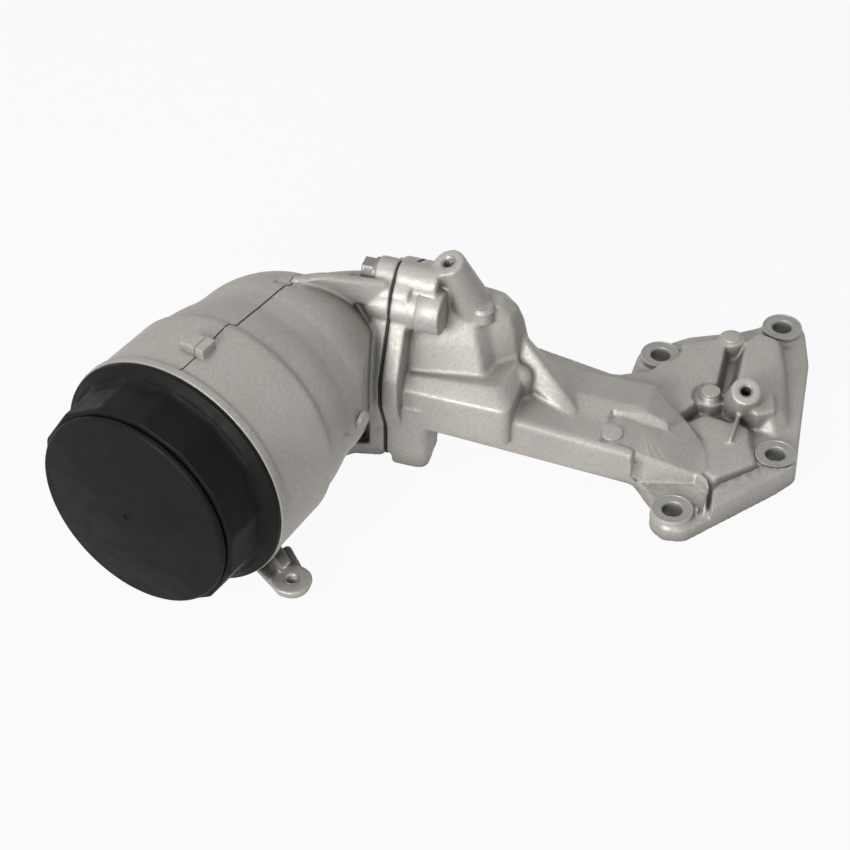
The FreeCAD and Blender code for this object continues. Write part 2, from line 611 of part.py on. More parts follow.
def bracket_casting():
    face = JOINT_X + GASKET / 2
    body = joint_plate(face, face + HOOD_FLANGE)
    body = body.fuse(hood()).fuse(arm()).fuse(plate())
    foot = slab(((face + 3, WALL_Y - 1), (-141.5, WALL_Y - 1), (-142.5, -58), (face + 3, -58)), (1, 5, 6, 1), 0, 40)
    body = body.fuse(foot)
    for y, z in JOINT_BOLTS:
        body = body.fuse(Part.makeCylinder(BOLT_BOSS_R, TAP_DEEP + 3.0, V(face, y, z), V(1, 0, 0)))
    y, z = GALLERY_BOSS
    body = body.fuse(Part.makeCylinder(BOSS_R, BOSS_LONG, V(face, y, z), V(1, 0, 0)))
    body = body.fuse(cone_post(V(-129.0, -45.0, 82.0), V(-140.2, -55.8, 120.0), 12.4, 8.6))
    body = body.fuse(Part.makeCone(6.4, 5.6, 10.0, V(-122.5, -51.0, HOOD_TOP - 8.8), V(0.0, 0.0, 1)))
    body = body.fuse(rod(V(face + 5, DRAIN_PORT[0], DRAIN_PORT[1]), V(-138, -38, 15), DRAIN_PORT_R + 4.5))
    body = body.fuse(Part.makeCone(7.0, 6.4, 5.0, V(-49.0, -56.5, 24.6), V(0.1, -0.05, 1)))
    # passages
    out_port = V(face - 1, OUT_PORT[0], OUT_PORT[1])
    out_way = (out_port, V(-146, -69, 44), V(-124, -69, 37), V(-24, -50, 14), V(PORT_OUT[0], PORT_OUT[1], 2))
    body = body.cut(gallery(out_way, IN_DUCT_R))
    body = body.cut(Part.makeCylinder(OUT_PORT_R, 9, out_port, V(1, 0, 0)))
    in_port = V(face - 1, IN_PORT[0], IN_PORT[1])
    in_way = (in_port, V(-146, -48, 72), V(-124, -47, 26), V(PORT_IN[0], PORT_IN[1], 16))
    body = body.cut(gallery(in_way, IN_DUCT_R))
    body = body.cut(Part.makeCylinder(IN_PORT_R, 9, in_port, V(1, 0, 0)))
    body = body.cut(Part.makeCylinder(PORT_R, PORT_DEEP, V(PORT_IN[0], PORT_IN[1], -1)))
    body = body.cut(Part.makeCylinder(PORT_R, 9, V(PORT_OUT[0], PORT_OUT[1], -1)))
    drain_port = V(face - 1, DRAIN_PORT[0], DRAIN_PORT[1])
    drain_way = (drain_port, V(-138, -38, 15), V(PORT_BACK[0], PORT_BACK[1], 9), V(PORT_BACK[0], PORT_BACK[1], -1))
    body = body.cut(gallery(drain_way, DRAIN_PORT_R))
    for x, y in (PORT_IN, PORT_OUT, PORT_BACK):
        groove = ring(ORING_OUT, ORING_IN, -1, ORING_DEEP)
        groove.translate(V(x, y, 0))
        body = body.cut(groove)
    # bolt holes of the plate, the threads of the joint and of the two inclined bosses
    for x, y in (HOLE_A, HOLE_B, HOLE_C, HOLE_D):
        body = body.cut(Part.makeCylinder(HOLE_R, 40, V(x, y, -1)))
        body = body.cut(Part.makeCylinder(PAD_R - 0.6, 30, V(x, y, PAD_H - 0.4)))
    body = body.cut(bolt_bores(face - 1, face + TAP_DEEP, BOLT_R + RUN - 0.05))
    body = body.cut(Part.makeBox(400, 300, 20, V(-200, -150, -20)))
    for y, z in DOWELS:
        body = body.cut(Part.makeCylinder(DOWEL_R, DOWEL_LONG / 2, V(face, y, z), V(1, 0, 0)))
    tap = V(-129.0, -45.0, 82.0) - V(-140.2, -55.8, 120.0)
    body = body.cut(Part.makeCylinder(3.3, 18.0, V(-140.2, -55.8, 120.0) - tap * 0.02, tap))
    tap = V(9.0, 10.0, 4.0) - V(11.9, -2.5, 30.0)
    body = body.cut(Part.makeCylinder(3.0, 15.0, V(11.9, -2.5, 30.0) - tap * 0.02, tap))
    return body.removeSplitter()


def hex_outline(r, corner, z):
    pts = []
    for i in range(6):
        a = math.radians(HEX_TURN + 60 * i)
        pts.append((r * math.cos(a), r * math.sin(a)))
    return rounded(pts, corner, flat(z))


def screw_cap():
    """One moulding: flange, skirt, hexagon, domed disc and snap fingers."""
    back = RIM_T - SEAT_GAP
    front = back - CAP_FLANGE_T
    skirt_r = THREAD_R - THREAD_GAP
    land_r = LAND_R - RUN
    body = spun((
        (0, front),
        (CAP_FLANGE_R - 1, front),
        (CAP_FLANGE_R, front + 1),
        (CAP_FLANGE_R, back),
        (skirt_r, back),
        (skirt_r, back + THREAD_LONG),
        (land_r, back + THREAD_LONG + 1),
        (land_r, GROOVE_T - GROOVE_W / 2),
        (land_r - 3.0, GROOVE_T - GROOVE_W / 2),
        (land_r - 3.0, GROOVE_T + GROOVE_W / 2),
        (land_r, GROOVE_T + GROOVE_W / 2),
        (land_r, CAP_END - 1.5),
        (land_r - 1.5, CAP_END),
        (0, CAP_END),
    ))
    prism = Part.Face(hex_outline(HEX_CORNER_R, HEX_ROUND, HEX_FRONT_T)).extrude(V(0, 0, front - HEX_FRONT_T + 1))
    foot = loft([hex_outline(HEX_CORNER_R, HEX_ROUND, front - 4), hex_outline(HEX_CORNER_R + 4.5, 5.0, front + 0.5)])
    body = body.fuse(prism).fuse(foot)
    disc_back = HEX_FRONT_T + 0.5
    disc_front = disc_back - DISC_T
    crown_r = (DISC_R ** 2 + DISC_RISE ** 2) / (2 * DISC_RISE)
    crown = Part.makeSphere(crown_r, V(0, 0, disc_front - DISC_RISE + crown_r))
    disc = Part.makeCylinder(DISC_R, DISC_T + DISC_RISE, V(0, 0, disc_front - DISC_RISE)).common(crown)
    rim_edges = [e for e in disc.Edges if abs(e.BoundBox.ZMin - disc_front) < 0.2 and e.BoundBox.ZMax - e.BoundBox.ZMin < 0.1]
    if rim_edges:
        disc = disc.makeFillet(2.6, rim_edges)
    body = body.fuse(disc)
    # the moulding gate in the middle of the disc
    gate = Part.makeSphere(3.0, V(0, 0, disc_front - DISC_RISE - 1.8))
    body = body.cut(gate)
    # hollow inside, drawn in where the hexagon is
    hollow = spun((
        (0, HEX_FRONT_T + 1.0),
        (45.2, HEX_FRONT_T + 1.0),
        (46.0, HEX_FRONT_T + 3.0),
        (46.0, front - 2),
        (land_r - 3.0 - CAP_WALL + 1.4, front + 8),
        (land_r - 3.0 - CAP_WALL + 1.4, CAP_END + 1),
        (0, CAP_END + 1),
    ))
    body = body.cut(hollow)
    fingers = ring(COLLAR_R + 5.0, COLLAR_R + 2.6, HEX_FRONT_T + 0.5, TOP_DISC_T - 1.2)
    for i in range(FINGERS):
        slot = Part.makeBox(12, 9, 8, V(COLLAR_R - 1, -4.5, HEX_FRONT_T + 2.0))
        slot.rotate(V(0, 0, 0), V(0, 0, 1), 360 / FINGERS * i)
        fingers = fingers.cut(slot)
    return in_bowl(body.fuse(fingers).removeSplitter())


def seal_ring(mean, r, t):
    """Ring seal about Z with an eight-sided section."""
    pts = []
    for i in range(8):
        a = math.radians(22.5 + 45 * i)
        pts.append((mean + r * math.cos(a), t + r * math.sin(a)))
    return spun(pts)


def cap_seal():
    """Ring seal in the groove of the cap."""
    land_r = LAND_R - RUN
    mean = (land_r - 3.0 + LAND_R) / 2
    return in_bowl(seal_ring(mean, SEAL_R, GROOVE_T))


def top_disc():
    body = spun((
        (PIPE_R + 3.4, TOP_DISC_T),
        (ELEMENT_R, TOP_DISC_T),
        (ELEMENT_R, TOP_DISC_T + DISC_THICK + 3),
        (ELEMENT_R - 1.2, TOP_DISC_T + DISC_THICK + 3),
        (ELEMENT_R - 1.2, TOP_DISC_T + DISC_THICK),
        (PIPE_R + 3.4, TOP_DISC_T + DISC_THICK),
    ))
    collar = ring(COLLAR_R + 1.9, COLLAR_R, TOP_DISC_T - 4.6, TOP_DISC_T + 1)
    return in_bowl(body.fuse(collar).removeSplitter())


def bottom_disc():
    t = BOTTOM_DISC_T
    body = spun((
        (PIPE_R + 3.4, t),
        (ELEMENT_R - 1.2, t),
        (ELEMENT_R - 1.2, t - 3),
        (ELEMENT_R, t - 3),
        (ELEMENT_R, t + DISC_THICK),
        (PIPE_R + 3.4, t + DISC_THICK),
    ))
    end = PIPE_SEAT + SPIGOT_IN
    spigot = Part.makeCone(SPIGOT_R + 1.4, SPIGOT_R, 8.0, V(-DRAIN_DOWN, 0, t + 1))
    spigot = spigot.fuse(Part.makeCylinder(SPIGOT_R, end - t - 1, V(-DRAIN_DOWN, 0, t + 1)))
    spigot = spigot.fuse(Part.makeCylinder(DRAIN_R - RUN - 0.2, 1.4, V(-DRAIN_DOWN, 0, end - SPIGOT_SEAL - 2.8)))
    spigot = spigot.fuse(Part.makeCylinder(DRAIN_R - RUN - 0.2, 1.4, V(-DRAIN_DOWN, 0, end - 1.4)))
    return in_bowl(body.fuse(spigot).removeSplitter())


def drain_seal():
    """Ring seal of the drain spigot, held between its two collars."""
    t = PIPE_SEAT + SPIGOT_IN - 1.4 - SPIGOT_SEAL
    seal = ring(DRAIN_R - SEAL_GAP, SPIGOT_R, t, t + SPIGOT_SEAL)
    seal.translate(V(-DRAIN_DOWN, 0, 0))
    return in_bowl(seal)


def grommets():
    """Two rubber rings that seal the element on the standpipe."""
    made = []
    for t in (TOP_DISC_T, BOTTOM_DISC_T):
        made.append(in_bowl(ring(PIPE_R + 3.4, PIPE_R + RUN, t - 0.0, t + DISC_THICK)))
    return Part.makeCompound(made)


def pleated_media():
    """Star of folded paper: one fold repeated round the centre tube."""
    t0 = TOP_DISC_T + DISC_THICK
    t1 = BOTTOM_DISC_T
    step = 2 * math.pi / PLEATS
    outer = []
    inner = []
    for i in range(PLEATS):
        a = i * step
        half_out = PAPER / 2 / PLEAT_OUT + 0.012
        tip = PAPER * 0.55 / PLEAT_IN
        outer.append((PLEAT_OUT, a - half_out))
        outer.append((PLEAT_OUT, a + half_out))
        outer.append((PLEAT_IN + PAPER, a + step / 2 - tip * 0.2))
        outer.append((PLEAT_IN + PAPER, a + step / 2 + tip * 0.2))
        inner.append((PLEAT_OUT - PAPER, a))
        inner.append((PLEAT_IN, a + step / 2 - tip))
        inner.append((PLEAT_IN, a + step / 2 + tip))
    shell = Part.makePolygon([V(r * math.cos(a), r * math.sin(a), t0) for r, a in outer + outer[:1]])
    hole = Part.makePolygon([V(r * math.cos(a), r * math.sin(a), t0) for r, a in inner + inner[:1]])
    solid = Part.Face(shell).extrude(V(0, 0, t1 - t0))
    return in_bowl(solid.cut(Part.Face(hole).extrude(V(0, 0, t1 - t0))))


def centre_tube():
    """Support tube of the element: upright bars joined by hoops, one moulding."""
    t0 = TOP_DISC_T + DISC_THICK
    t1 = BOTTOM_DISC_T
    body = ring(TUBE_R, TUBE_R - TUBE_WALL, t0, t1)
    pitch = (t1 - t0 - TUBE_HOOP) / TUBE_ROWS
    width = 2 * TUBE_R * math.sin(math.pi / TUBE_BARS) - TUBE_BAR_W
    tools = []
    for row in range(TUBE_ROWS):
        for i in range(TUBE_BARS // 2):
            window = Part.makeBox(2 * TUBE_R + 4, width, pitch - TUBE_HOOP)
            window.translate(V(-TUBE_R - 2, -width / 2, t0 + TUBE_HOOP + pitch * row))
            window.rotate(V(0, 0, 0), V(0, 0, 1), 360 / TUBE_BARS * i)
            tools.append(window)
    return in_bowl(body.cut(Part.makeCompound(tools)))


def standpipe():
    """Pipe pressed into the closed end of the bowl, slotted behind the element."""
    body = ring(PIPE_R - RUN, PIPE_BORE, PIPE_TOP, PIPE_SEAT - 2)
    body = body.fuse(ring(PIPE_R, PIPE_BORE, PIPE_SEAT - 2, PIPE_END))
    for i in range(3):
        slot = Part.makeBox(2 * PIPE_R + 4, 6, 26, V(-PIPE_R - 2, -3, 52))
        slot.rotate(V(0, 0, 0), V(0, 0, 1), 60 * i)
        body = body.cut(slot)
    return in_bowl(body.removeSplitter())


SEAT_TOP = PIPE_TOP + 1.0
DISC_FROM = SEAT_TOP + 2.6
SPRING_FROM = DISC_FROM + 1.8
SPRING_LONG = 22.0


def bypass_seat():
    return in_bowl(ring(PIPE_BORE, 5.4, SEAT_TOP, SEAT_TOP + 2.5))


def bypass_poppet():
    disc = Part.makeCylinder(BYPASS_DISC_R, 1.6, V(0, 0, DISC_FROM))
    stem = Part.makeCylinder(3.2, 12.0, V(0, 0, DISC_FROM))
    return in_bowl(disc.fuse(stem).removeSplitter())


def bypass_retainer():
    """Bridge that holds the spring, open between its four spokes."""
    t = SPRING_FROM + SPRING_LONG
    body = ring(PIPE_BORE, 7.4, t, t + 3)
    hub = ring(5.0, 3.2 + RUN, t, t + 3)
    for i in range(2):
        bar = Part.makeBox(17.0, 2.6, 3, V(-8.5, -1.3, t))
        bar.rotate(V(0, 0, 0), V(0, 0, 1), 90 * i)
        hub = hub.fuse(bar)
    body = body.fuse(hub).cut(Part.makeCylinder(3.2 + RUN, 6, V(0, 0, t - 1)))
    return in_bowl(body.removeSplitter())


def coil(r, wire, length, turns):
    """Helical spring standing on Z = 0, wire centre line inside its ends."""
    path = Part.makeHelix((length - 2 * wire) / turns, length - 2 * wire, r)
    path.translate(V(0, 0, wire))
    pts = []
    for i in range(7):
        a = math.radians(60 * i)
        pts.append(V(r + wire * math.cos(a), 0, wire + wire * math.sin(a)))
    return Part.Wire(path.Edges).makePipeShell([Part.makePolygon(pts)], True, True)


def bypass_spring():
    body = coil(BYPASS_COIL_R, BYPASS_WIRE, SPRING_LONG - 0.2, BYPASS_TURNS)
    body.translate(V(0, 0, SPRING_FROM))
    return in_bowl(body)


def return_cage():
    """Cage of the non-return valve: seat ring, three legs and top ring in one moulding."""
    x, y = PORT_IN
    seat = ring(PORT_R, 4.4, 1.0, 3.0)
    top = ring(PORT_R, 2.2, CAGE_H - 1.8, CAGE_H)
    body = seat.fuse(top)
    for i in range(3):
        leg = ring(PORT_R, PORT_R - 1.1, 2.0, CAGE_H - 1)
        sector = Part.makeBox(9, 3.4, CAGE_H, V(0, -1.7, 1.5))
        sector.rotate(V(0, 0, 0), V(0, 0, 1), 120 * i)
        body = body.fuse(leg.common(sector))
    body.translate(V(x, y, 0))
    return body.removeSplitter()


def return_disc():
    x, y = PORT_IN
    return Part.makeCylinder(5.4, 1.5, V(x, y, 3.1)).fuse(Part.makeCylinder(1.8, 7.0, V(x, y, 3.1))).removeSplitter()


def return_spring():
    x, y = PORT_IN
    body = coil(3.2, 0.4, CAGE_H - 1.8 - 4.7 - 0.1, 4.0)
    body.translate(V(x, y, 4.65))
    return body


def port_seals():
    """Ring seals in the grooves of the mounting face."""
    mean = (ORING_IN + ORING_OUT) / 2
    made = []
    for x, y in (PORT_IN, PORT_OUT, PORT_BACK):
        seal = seal_ring(mean, ORING_WIRE, ORING_WIRE + 0.05)
        seal.translate(V(x, y, 0))
        made.append(seal)
    return Part.makeCompound(made)


PIECES = (
    ("bowl_casting", bowl_casting),
    ("bracket_casting", bracket_casting),
    ("joint_gasket", joint_gasket),
    ("joint_bolts", joint_bolts),
    ("locating_dowels", locating_dowels),
    ("screw_cap", screw_cap),
    ("cap_seal", cap_seal),
    ("element_top_disc", top_disc),
    ("element_bottom_disc", bottom_disc),
    ("element_grommets", grommets),
    ("pleated_media", pleated_media),
    ("centre_tube", centre_tube),
    ("standpipe", standpipe),
    ("bypass_seat", bypass_seat),
    ("bypass_poppet", bypass_poppet),
    ("bypass_spring", bypass_spring),
    ("bypass_retainer", bypass_retainer),
    ("drain_seal", drain_seal),
    ("return_cage", return_cage),
    ("return_disc", return_disc),
    ("return_spring", return_spring),
    ("port_seals", port_seals),
)

for name, make in PIECES:
    shape = make()
    shape.exportStep("parts/" + name + ".step")
    print(name, shape.ShapeType, len(shape.Solids), "solids", round(shape.Volume), "mm3")
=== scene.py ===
# %% [markdown]
# # An oil filter housing in bare aluminium
#
# The object is two aluminium castings bolted together, with a black screw cap on the filter bowl.
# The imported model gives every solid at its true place, in metres. This lesson dresses it: the two
# castings get the soft edges of a real casting, the cap and its thread are worked out as surfaces,
# and every piece gets a finish made from noise and geometry alone.

# %% Load the frame
import math
import bpy
import bmesh
import numpy as np
from mathutils import Matrix
from mathutils.bvhtree import BVHTree


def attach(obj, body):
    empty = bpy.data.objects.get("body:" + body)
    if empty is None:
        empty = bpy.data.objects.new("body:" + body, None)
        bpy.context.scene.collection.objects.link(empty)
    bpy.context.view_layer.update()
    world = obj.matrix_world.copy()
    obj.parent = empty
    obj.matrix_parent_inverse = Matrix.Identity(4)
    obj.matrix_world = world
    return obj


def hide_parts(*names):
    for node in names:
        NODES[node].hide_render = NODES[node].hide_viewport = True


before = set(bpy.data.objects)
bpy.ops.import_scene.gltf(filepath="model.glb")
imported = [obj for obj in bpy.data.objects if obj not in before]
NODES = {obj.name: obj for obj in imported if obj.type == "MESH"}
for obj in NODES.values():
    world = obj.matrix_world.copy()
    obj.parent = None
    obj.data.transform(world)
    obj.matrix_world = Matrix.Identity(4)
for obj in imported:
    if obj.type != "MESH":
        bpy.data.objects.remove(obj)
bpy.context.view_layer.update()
MM = 0.001

# %% [markdown]
# ## The bowl's own frame
#
# The bowl lies level and turned in plan, so it is easiest to describe in its own frame: `up`,
# `side` towards the joint, and `along` into the bowl. A point is then an angle round the axis, a
# radius and a station. Every turned piece below uses this one function.

# %% The bowl frame
BOWL_TURN = math.radians(75.0)
BOWL_AT = np.array([-239.4, -195.6, 66.0])
UP = np.array([0.0, 0.0, 1.0])
SIDE = np.array([math.sin(BOWL_TURN), -math.cos(BOWL_TURN), 0.0])
ALONG = np.array([math.cos(BOWL_TURN), math.sin(BOWL_TURN), 0.0])


def bowl_point(r, angle, t):
    """Metres. Axis point at station t, plus r times (cos angle up + sin angle side)."""
    r, angle, t = np.broadcast_arrays(r, angle, t)
    spoke = np.cos(angle)[..., None] * UP + np.sin(angle)[..., None] * SIDE
    return (BOWL_AT + t[..., None] * ALONG + r[..., None] * spoke) * MM


def upright_point(x, y):
    """Placer for pieces turned about a vertical axis through (x, y)."""
    def place(r, angle, t):
        r, angle, t = np.broadcast_arrays(r, angle, t)
        return np.stack([x + r * np.cos(angle), y + r * np.sin(angle), t + 0 * r], -1) * MM
    return place


def tilted_point(face, root):
    """Placer for pieces turned about the line from root out to face; station 0 is the face."""
    face, root = np.array(face, float), np.array(root, float)
    out = (face - root) / np.linalg.norm(face - root)
    a = np.cross(out, [0.0, 1.0, 0.0])
    a /= np.linalg.norm(a)
    b = np.cross(out, a)

    def place(r, angle, t):
        r, angle, t = np.broadcast_arrays(r, angle, t)
        spoke = np.cos(angle)[..., None] * a + np.sin(angle)[..., None] * b
        return (face + t[..., None] * out + r[..., None] * spoke) * MM
    return place


# %% [markdown]
# ## From a grid of points to a mesh
#
# A surface of two parameters is an array of points with two indices. Its faces need no loop: the
# four corners of every face are the same array shifted by one. Where the surface closes on
# itself the shift wraps round, and poles are welded afterwards.

# %% Grid to mesh
def surface(name, pts, wrap_u=False, wrap_v=True, smooth=True):
    """Quads between neighbours of pts[u, v]; wrapping joins the last row or column to the first."""
    nu, nv = pts.shape[:2]
    ids = np.arange(nu * nv).reshape(nu, nv)
    nxt = np.roll(ids, -1, 0)
    quads = np.stack([ids, nxt, np.roll(nxt, -1, 1), np.roll(ids, -1, 1)], -1)
    quads = quads[: nu if wrap_u else nu - 1, : nv if wrap_v else nv - 1].reshape(-1, 4)
    mesh = bpy.data.meshes.new(name)
    mesh.from_pydata(pts.reshape(-1, 3).tolist(), [], quads.tolist())
    return finish_mesh(name, mesh, smooth)


def finish_mesh(name, mesh, smooth=True, weld=2e-6):
    """Weld doubled points, drop empty faces, turn the faces outwards and link the object."""
    bm = bmesh.new()
    bm.from_mesh(mesh)
    bmesh.ops.remove_doubles(bm, verts=bm.verts, dist=weld)
    bmesh.ops.dissolve_degenerate(bm, edges=bm.edges, dist=weld)
    bmesh.ops.recalc_face_normals(bm, faces=bm.faces)
    bm.to_mesh(mesh)
    bm.free()
    mesh.polygons.foreach_set("use_smooth", np.full(len(mesh.polygons), smooth))
    if smooth:
        mesh.set_sharp_from_angle(angle=math.radians(32))
    obj = bpy.data.objects.new(name, mesh)
    bpy.context.scene.collection.objects.link(obj)
    return obj


def turned(name, profile, place, steps=96, closed=True):
    """Spin a profile of (radius, station) corners about the axis of `place`."""
    profile = np.array(profile, float)
    angle = np.linspace(0, 2 * math.pi, steps, endpoint=False)
    pts = place(profile[:, None, 0], angle[None, :], profile[:, None, 1])
    return surface(name, pts, wrap_u=closed)


def dress(obj, body, slot, material, *replaced):
    """Give a new piece its finish, its body and the nodes that it stands for; the argument `slot` is not
    used.
    """
    obj.data.materials.clear()
    obj.data.materials.append(material)
    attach(obj, body)
    if replaced:
        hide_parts(*replaced)
    print(obj.name, "faces", len(obj.data.polygons), "on", body)
    return obj


# %% [markdown]
# ## The camera
#
# The photograph looks down at about 42 degrees from in front of the cap, from far away with a
# long lens. The values come from fitting the circles of the cap and of the four plate holes.

# %% Camera
ELEVATION, ROLL = math.radians(41.63), math.radians(0.65)
PLAN_TURN = math.radians(17.42)
FOCAL_PX, IMAGE_PX, DISTANCE = 3000.0, 850.0, 1631.0
CAMERA_ORIGIN = np.array([161.4, 2.8, 0.0])

back = np.array([0.0, -math.cos(ELEVATION), math.sin(ELEVATION)])
right = np.array([1.0, 0.0, 0.0])
up = np.cross(back, right)
rolled_right = math.cos(ROLL) * right + math.sin(ROLL) * up
rolled_up = -math.sin(ROLL) * right + math.cos(ROLL) * up
turn = np.array([
    [math.cos(PLAN_TURN), -math.sin(PLAN_TURN), 0],
    [math.sin(PLAN_TURN), math.cos(PLAN_TURN), 0],
    [0, 0, 1],
])
eye = turn @ (back * DISTANCE - CAMERA_ORIGIN) * MM
axes = np.stack([turn @ rolled_right, turn @ rolled_up, turn @ back], 1)
pose = np.eye(4)
pose[:3, :3], pose[:3, 3] = axes, eye
lens = bpy.data.cameras.new("camera")
lens.sensor_width = 36.0
lens.lens = FOCAL_PX * 36.0 / IMAGE_PX
lens.clip_start, lens.clip_end = 0.05, 20.0
camera = bpy.data.objects.new("camera", lens)
camera.matrix_world = Matrix(pose.tolist())
bpy.context.scene.collection.objects.link(camera)
bpy.context.scene.camera = camera
print("lens", round(lens.lens, 2), "mm, eye", eye.round(3))

# %% [markdown]
# ## Finishes
#
# A finish is a Principled shader whose colour, roughness and bump come from noise on Object
# coordinates, in metres, so that a grain of half a millimetre is a noise scale of about 2000.
# One small helper wires a noise into a socket between two values; the finishes below say what the
# real surface does, and most of them also darken the colour in hollows, which is painted shade.

# %% Material helpers
def new_material(name, color, metallic, roughness, **sockets):
    """A Principled material and its node tree; further sockets by their names."""
    mat = bpy.data.materials.new(name)
    mat.use_nodes = True
    shader = mat.node_tree.nodes["Principled BSDF"]
    shader.inputs["Base Color"].default_value = (*color, 1)
    shader.inputs["Metallic"].default_value = metallic
    shader.inputs["Roughness"].default_value = roughness
    for key, value in sockets.items():
        shader.inputs[key.replace("_", " ")].default_value = value
    return mat, mat.node_tree, shader


def object_noise(tree, scale, detail=3.0, rough=0.55, stretch=(1, 1, 1)):
    """Noise on Object coordinates; returns its value socket."""
    coords = tree.nodes.new("ShaderNodeTexCoord")
    mapping = tree.nodes.new("ShaderNodeMapping")
    mapping.inputs["Scale"].default_value = stretch
    noise = tree.nodes.new("ShaderNodeTexNoise")
    noise.inputs["Scale"].default_value = scale
    noise.inputs["Detail"].default_value = detail
    noise.inputs["Roughness"].default_value = rough
    tree.links.new(coords.outputs["Object"], mapping.inputs["Vector"])
    tree.links.new(mapping.outputs["Vector"], noise.inputs["Vector"])
    return noise.outputs[0]


def spread(tree, value, low, high, at=(0.3, 0.7)):
    """Value mapped from the range `at` to low and high; numbers or colours."""
    ramp = tree.nodes.new("ShaderNodeValToRGB")
    as_colour = [c if isinstance(c, tuple) else (c, c, c) for c in (low, high)]
    for element, place, colour in zip(ramp.color_ramp.elements, at, as_colour):
        element.position = place
        element.color = (*colour, 1)
    tree.links.new(value, ramp.inputs["Fac"])
    return ramp.outputs["Color"]


def blend_colours(tree, kind, factor, a, b):
    """Mix node of the given blend type; factor and colours may be sockets or values."""
    mix = tree.nodes.new("ShaderNodeMix")
    mix.data_type = "RGBA"
    mix.blend_type = kind
    for key, value in ((0, factor), (6, a), (7, b)):
        if isinstance(value, bpy.types.NodeSocket):
            tree.links.new(value, mix.inputs[key])
        else:
            mix.inputs[key].default_value = value if key == 0 else (*value, 1)
    return mix.outputs[2]


def add_bump(tree, shader, layers):
    """Chain of bumps, each (height socket, strength, distance in metres)."""
    last = None
    for height, strength, distance in layers:
        bump = tree.nodes.new("ShaderNodeBump")
        bump.inputs["Strength"].default_value = strength
        bump.inputs["Distance"].default_value = distance
        tree.links.new(height, bump.inputs["Height"])
        if last is not None:
            tree.links.new(last, bump.inputs["Normal"])
        last = bump.outputs["Normal"]
    tree.links.new(last, shader.inputs["Normal"])


# %% [markdown]
# ### Cast aluminium
#
# A pressure casting that has been shot blasted is pale grey and dull, with a fine grain and cloudy
# stains where the metal ran. A picture of real metal could give that, but it would need unwrapping.
# Noise needs none: a coarse one shifts the colour, a fine one makes the grain, and the occlusion of
# the shape itself darkens the colour in the hollows, a painted shade.

# %% Cast aluminium
def scaled(tone, by):
    """Colour times a number, or times one number for each channel."""
    return tuple(float(c) for c in np.array(tone) * np.array(by))


def painted_hollow_shade(tree, distance, shade, at):
    """Painted shade: from `shade` in deep hollows to 1 in the open, by the occlusion within `distance`
    metres.
    """
    hollow = tree.nodes.new("ShaderNodeAmbientOcclusion")
    hollow.inputs["Distance"].default_value = distance
    hollow.samples = 8
    return spread(tree, hollow.outputs["AO"], shade, 1.0, at)


def cast_metal(name, tone, shade):
    """Clouds and warm stains mixed, times a fine speckle, times a painted shade in the hollows."""
    mat, tree, shader = new_material(name, tone, 0.45, 0.45)
    clouds = spread(tree, object_noise(tree, 26, 4), scaled(tone, 0.72), tone)
    warm = spread(tree, object_noise(tree, 60, 3), scaled(tone, (1.05, 0.98, 0.93)), tone)
    speckle = spread(tree, object_noise(tree, 900, 3, 0.6), 0.88, 1.05, (0.35, 0.65))
    colour = blend_colours(tree, "MIX", 0.45, clouds, warm)
    colour = blend_colours(tree, "MULTIPLY", 1.0, colour, speckle)
    # painted shade: the colour is darkened in the hollows by the occlusion of the shape
    colour = blend_colours(tree, "MULTIPLY", 1.0, colour, painted_hollow_shade(tree, 0.018, shade, (0.25, 0.85)))
    tree.links.new(colour, shader.inputs["Base Color"])
    tree.links.new(spread(tree, object_noise(tree, 340, 4), 0.42, 0.60), shader.inputs["Roughness"])
    grain = object_noise(tree, 1500, 2)
    pitting = spread(tree, object_noise(tree, 420, 5, 0.7), 0.0, 1.0, (0.35, 0.6))
    add_bump(tree, shader, [(grain, 0.35, 0.00012), (pitting, 0.25, 0.00025)])
    return mat


# the last number is the painted shade in the deepest hollows
CAST = cast_metal("cast_aluminium", (0.50, 0.485, 0.455), 0.3)


# %% [markdown]
# ### Machined aluminium, steel, plastic, rubber and paper
#
# Machined faces are smooth and even and carry fine tool lines. The plastic of the cap is nearly
# black with a satin skin. Rubber is duller still, and the paper of the filter is warm and
# fibrous. Two functions are enough for all of them, one for metals and one for the rest, because
# they differ only in tone, gloss and grain.

# %% The other finishes
def machined_metal(name, tone, roughness):
    """Tool lines in roughness and bump, and a faint stain in the colour."""
    mat, tree, shader = new_material(name, tone, 0.5, roughness)
    lines = object_noise(tree, 900, 2, 0.5, (1, 1, 0.15))
    tree.links.new(spread(tree, lines, roughness * 0.75, roughness * 1.3), shader.inputs["Roughness"])
    stain = spread(tree, object_noise(tree, 60, 3), scaled(tone, 0.9), tone)
    tree.links.new(stain, shader.inputs["Base Color"])
    add_bump(tree, shader, [(lines, 0.2, 0.00005)])
    return mat


def satin_plastic(name, tone, roughness, grain=900, shine=0.5):
    """Mottled colour times a painted shade in the hollows, uneven gloss and a fine moulded grain."""
    mat, tree, shader = new_material(name, tone, 0.0, roughness, Specular_IOR_Level=shine)
    mottle = spread(tree, object_noise(tree, 45, 3), scaled(tone, 0.8), scaled(tone, 1.25))
    # painted shade: the colour is darkened in the hollows by the occlusion of the shape
    colour = blend_colours(tree, "MULTIPLY", 1.0, mottle, painted_hollow_shade(tree, 0.01, 0.3, (0.3, 0.9)))
    tree.links.new(colour, shader.inputs["Base Color"])
    gloss = spread(tree, object_noise(tree, 130, 4), roughness * 0.85, roughness * 1.2)
    tree.links.new(gloss, shader.inputs["Roughness"])
    add_bump(tree, shader, [(object_noise(tree, grain, 2), 0.18, 0.00008)])
    return mat


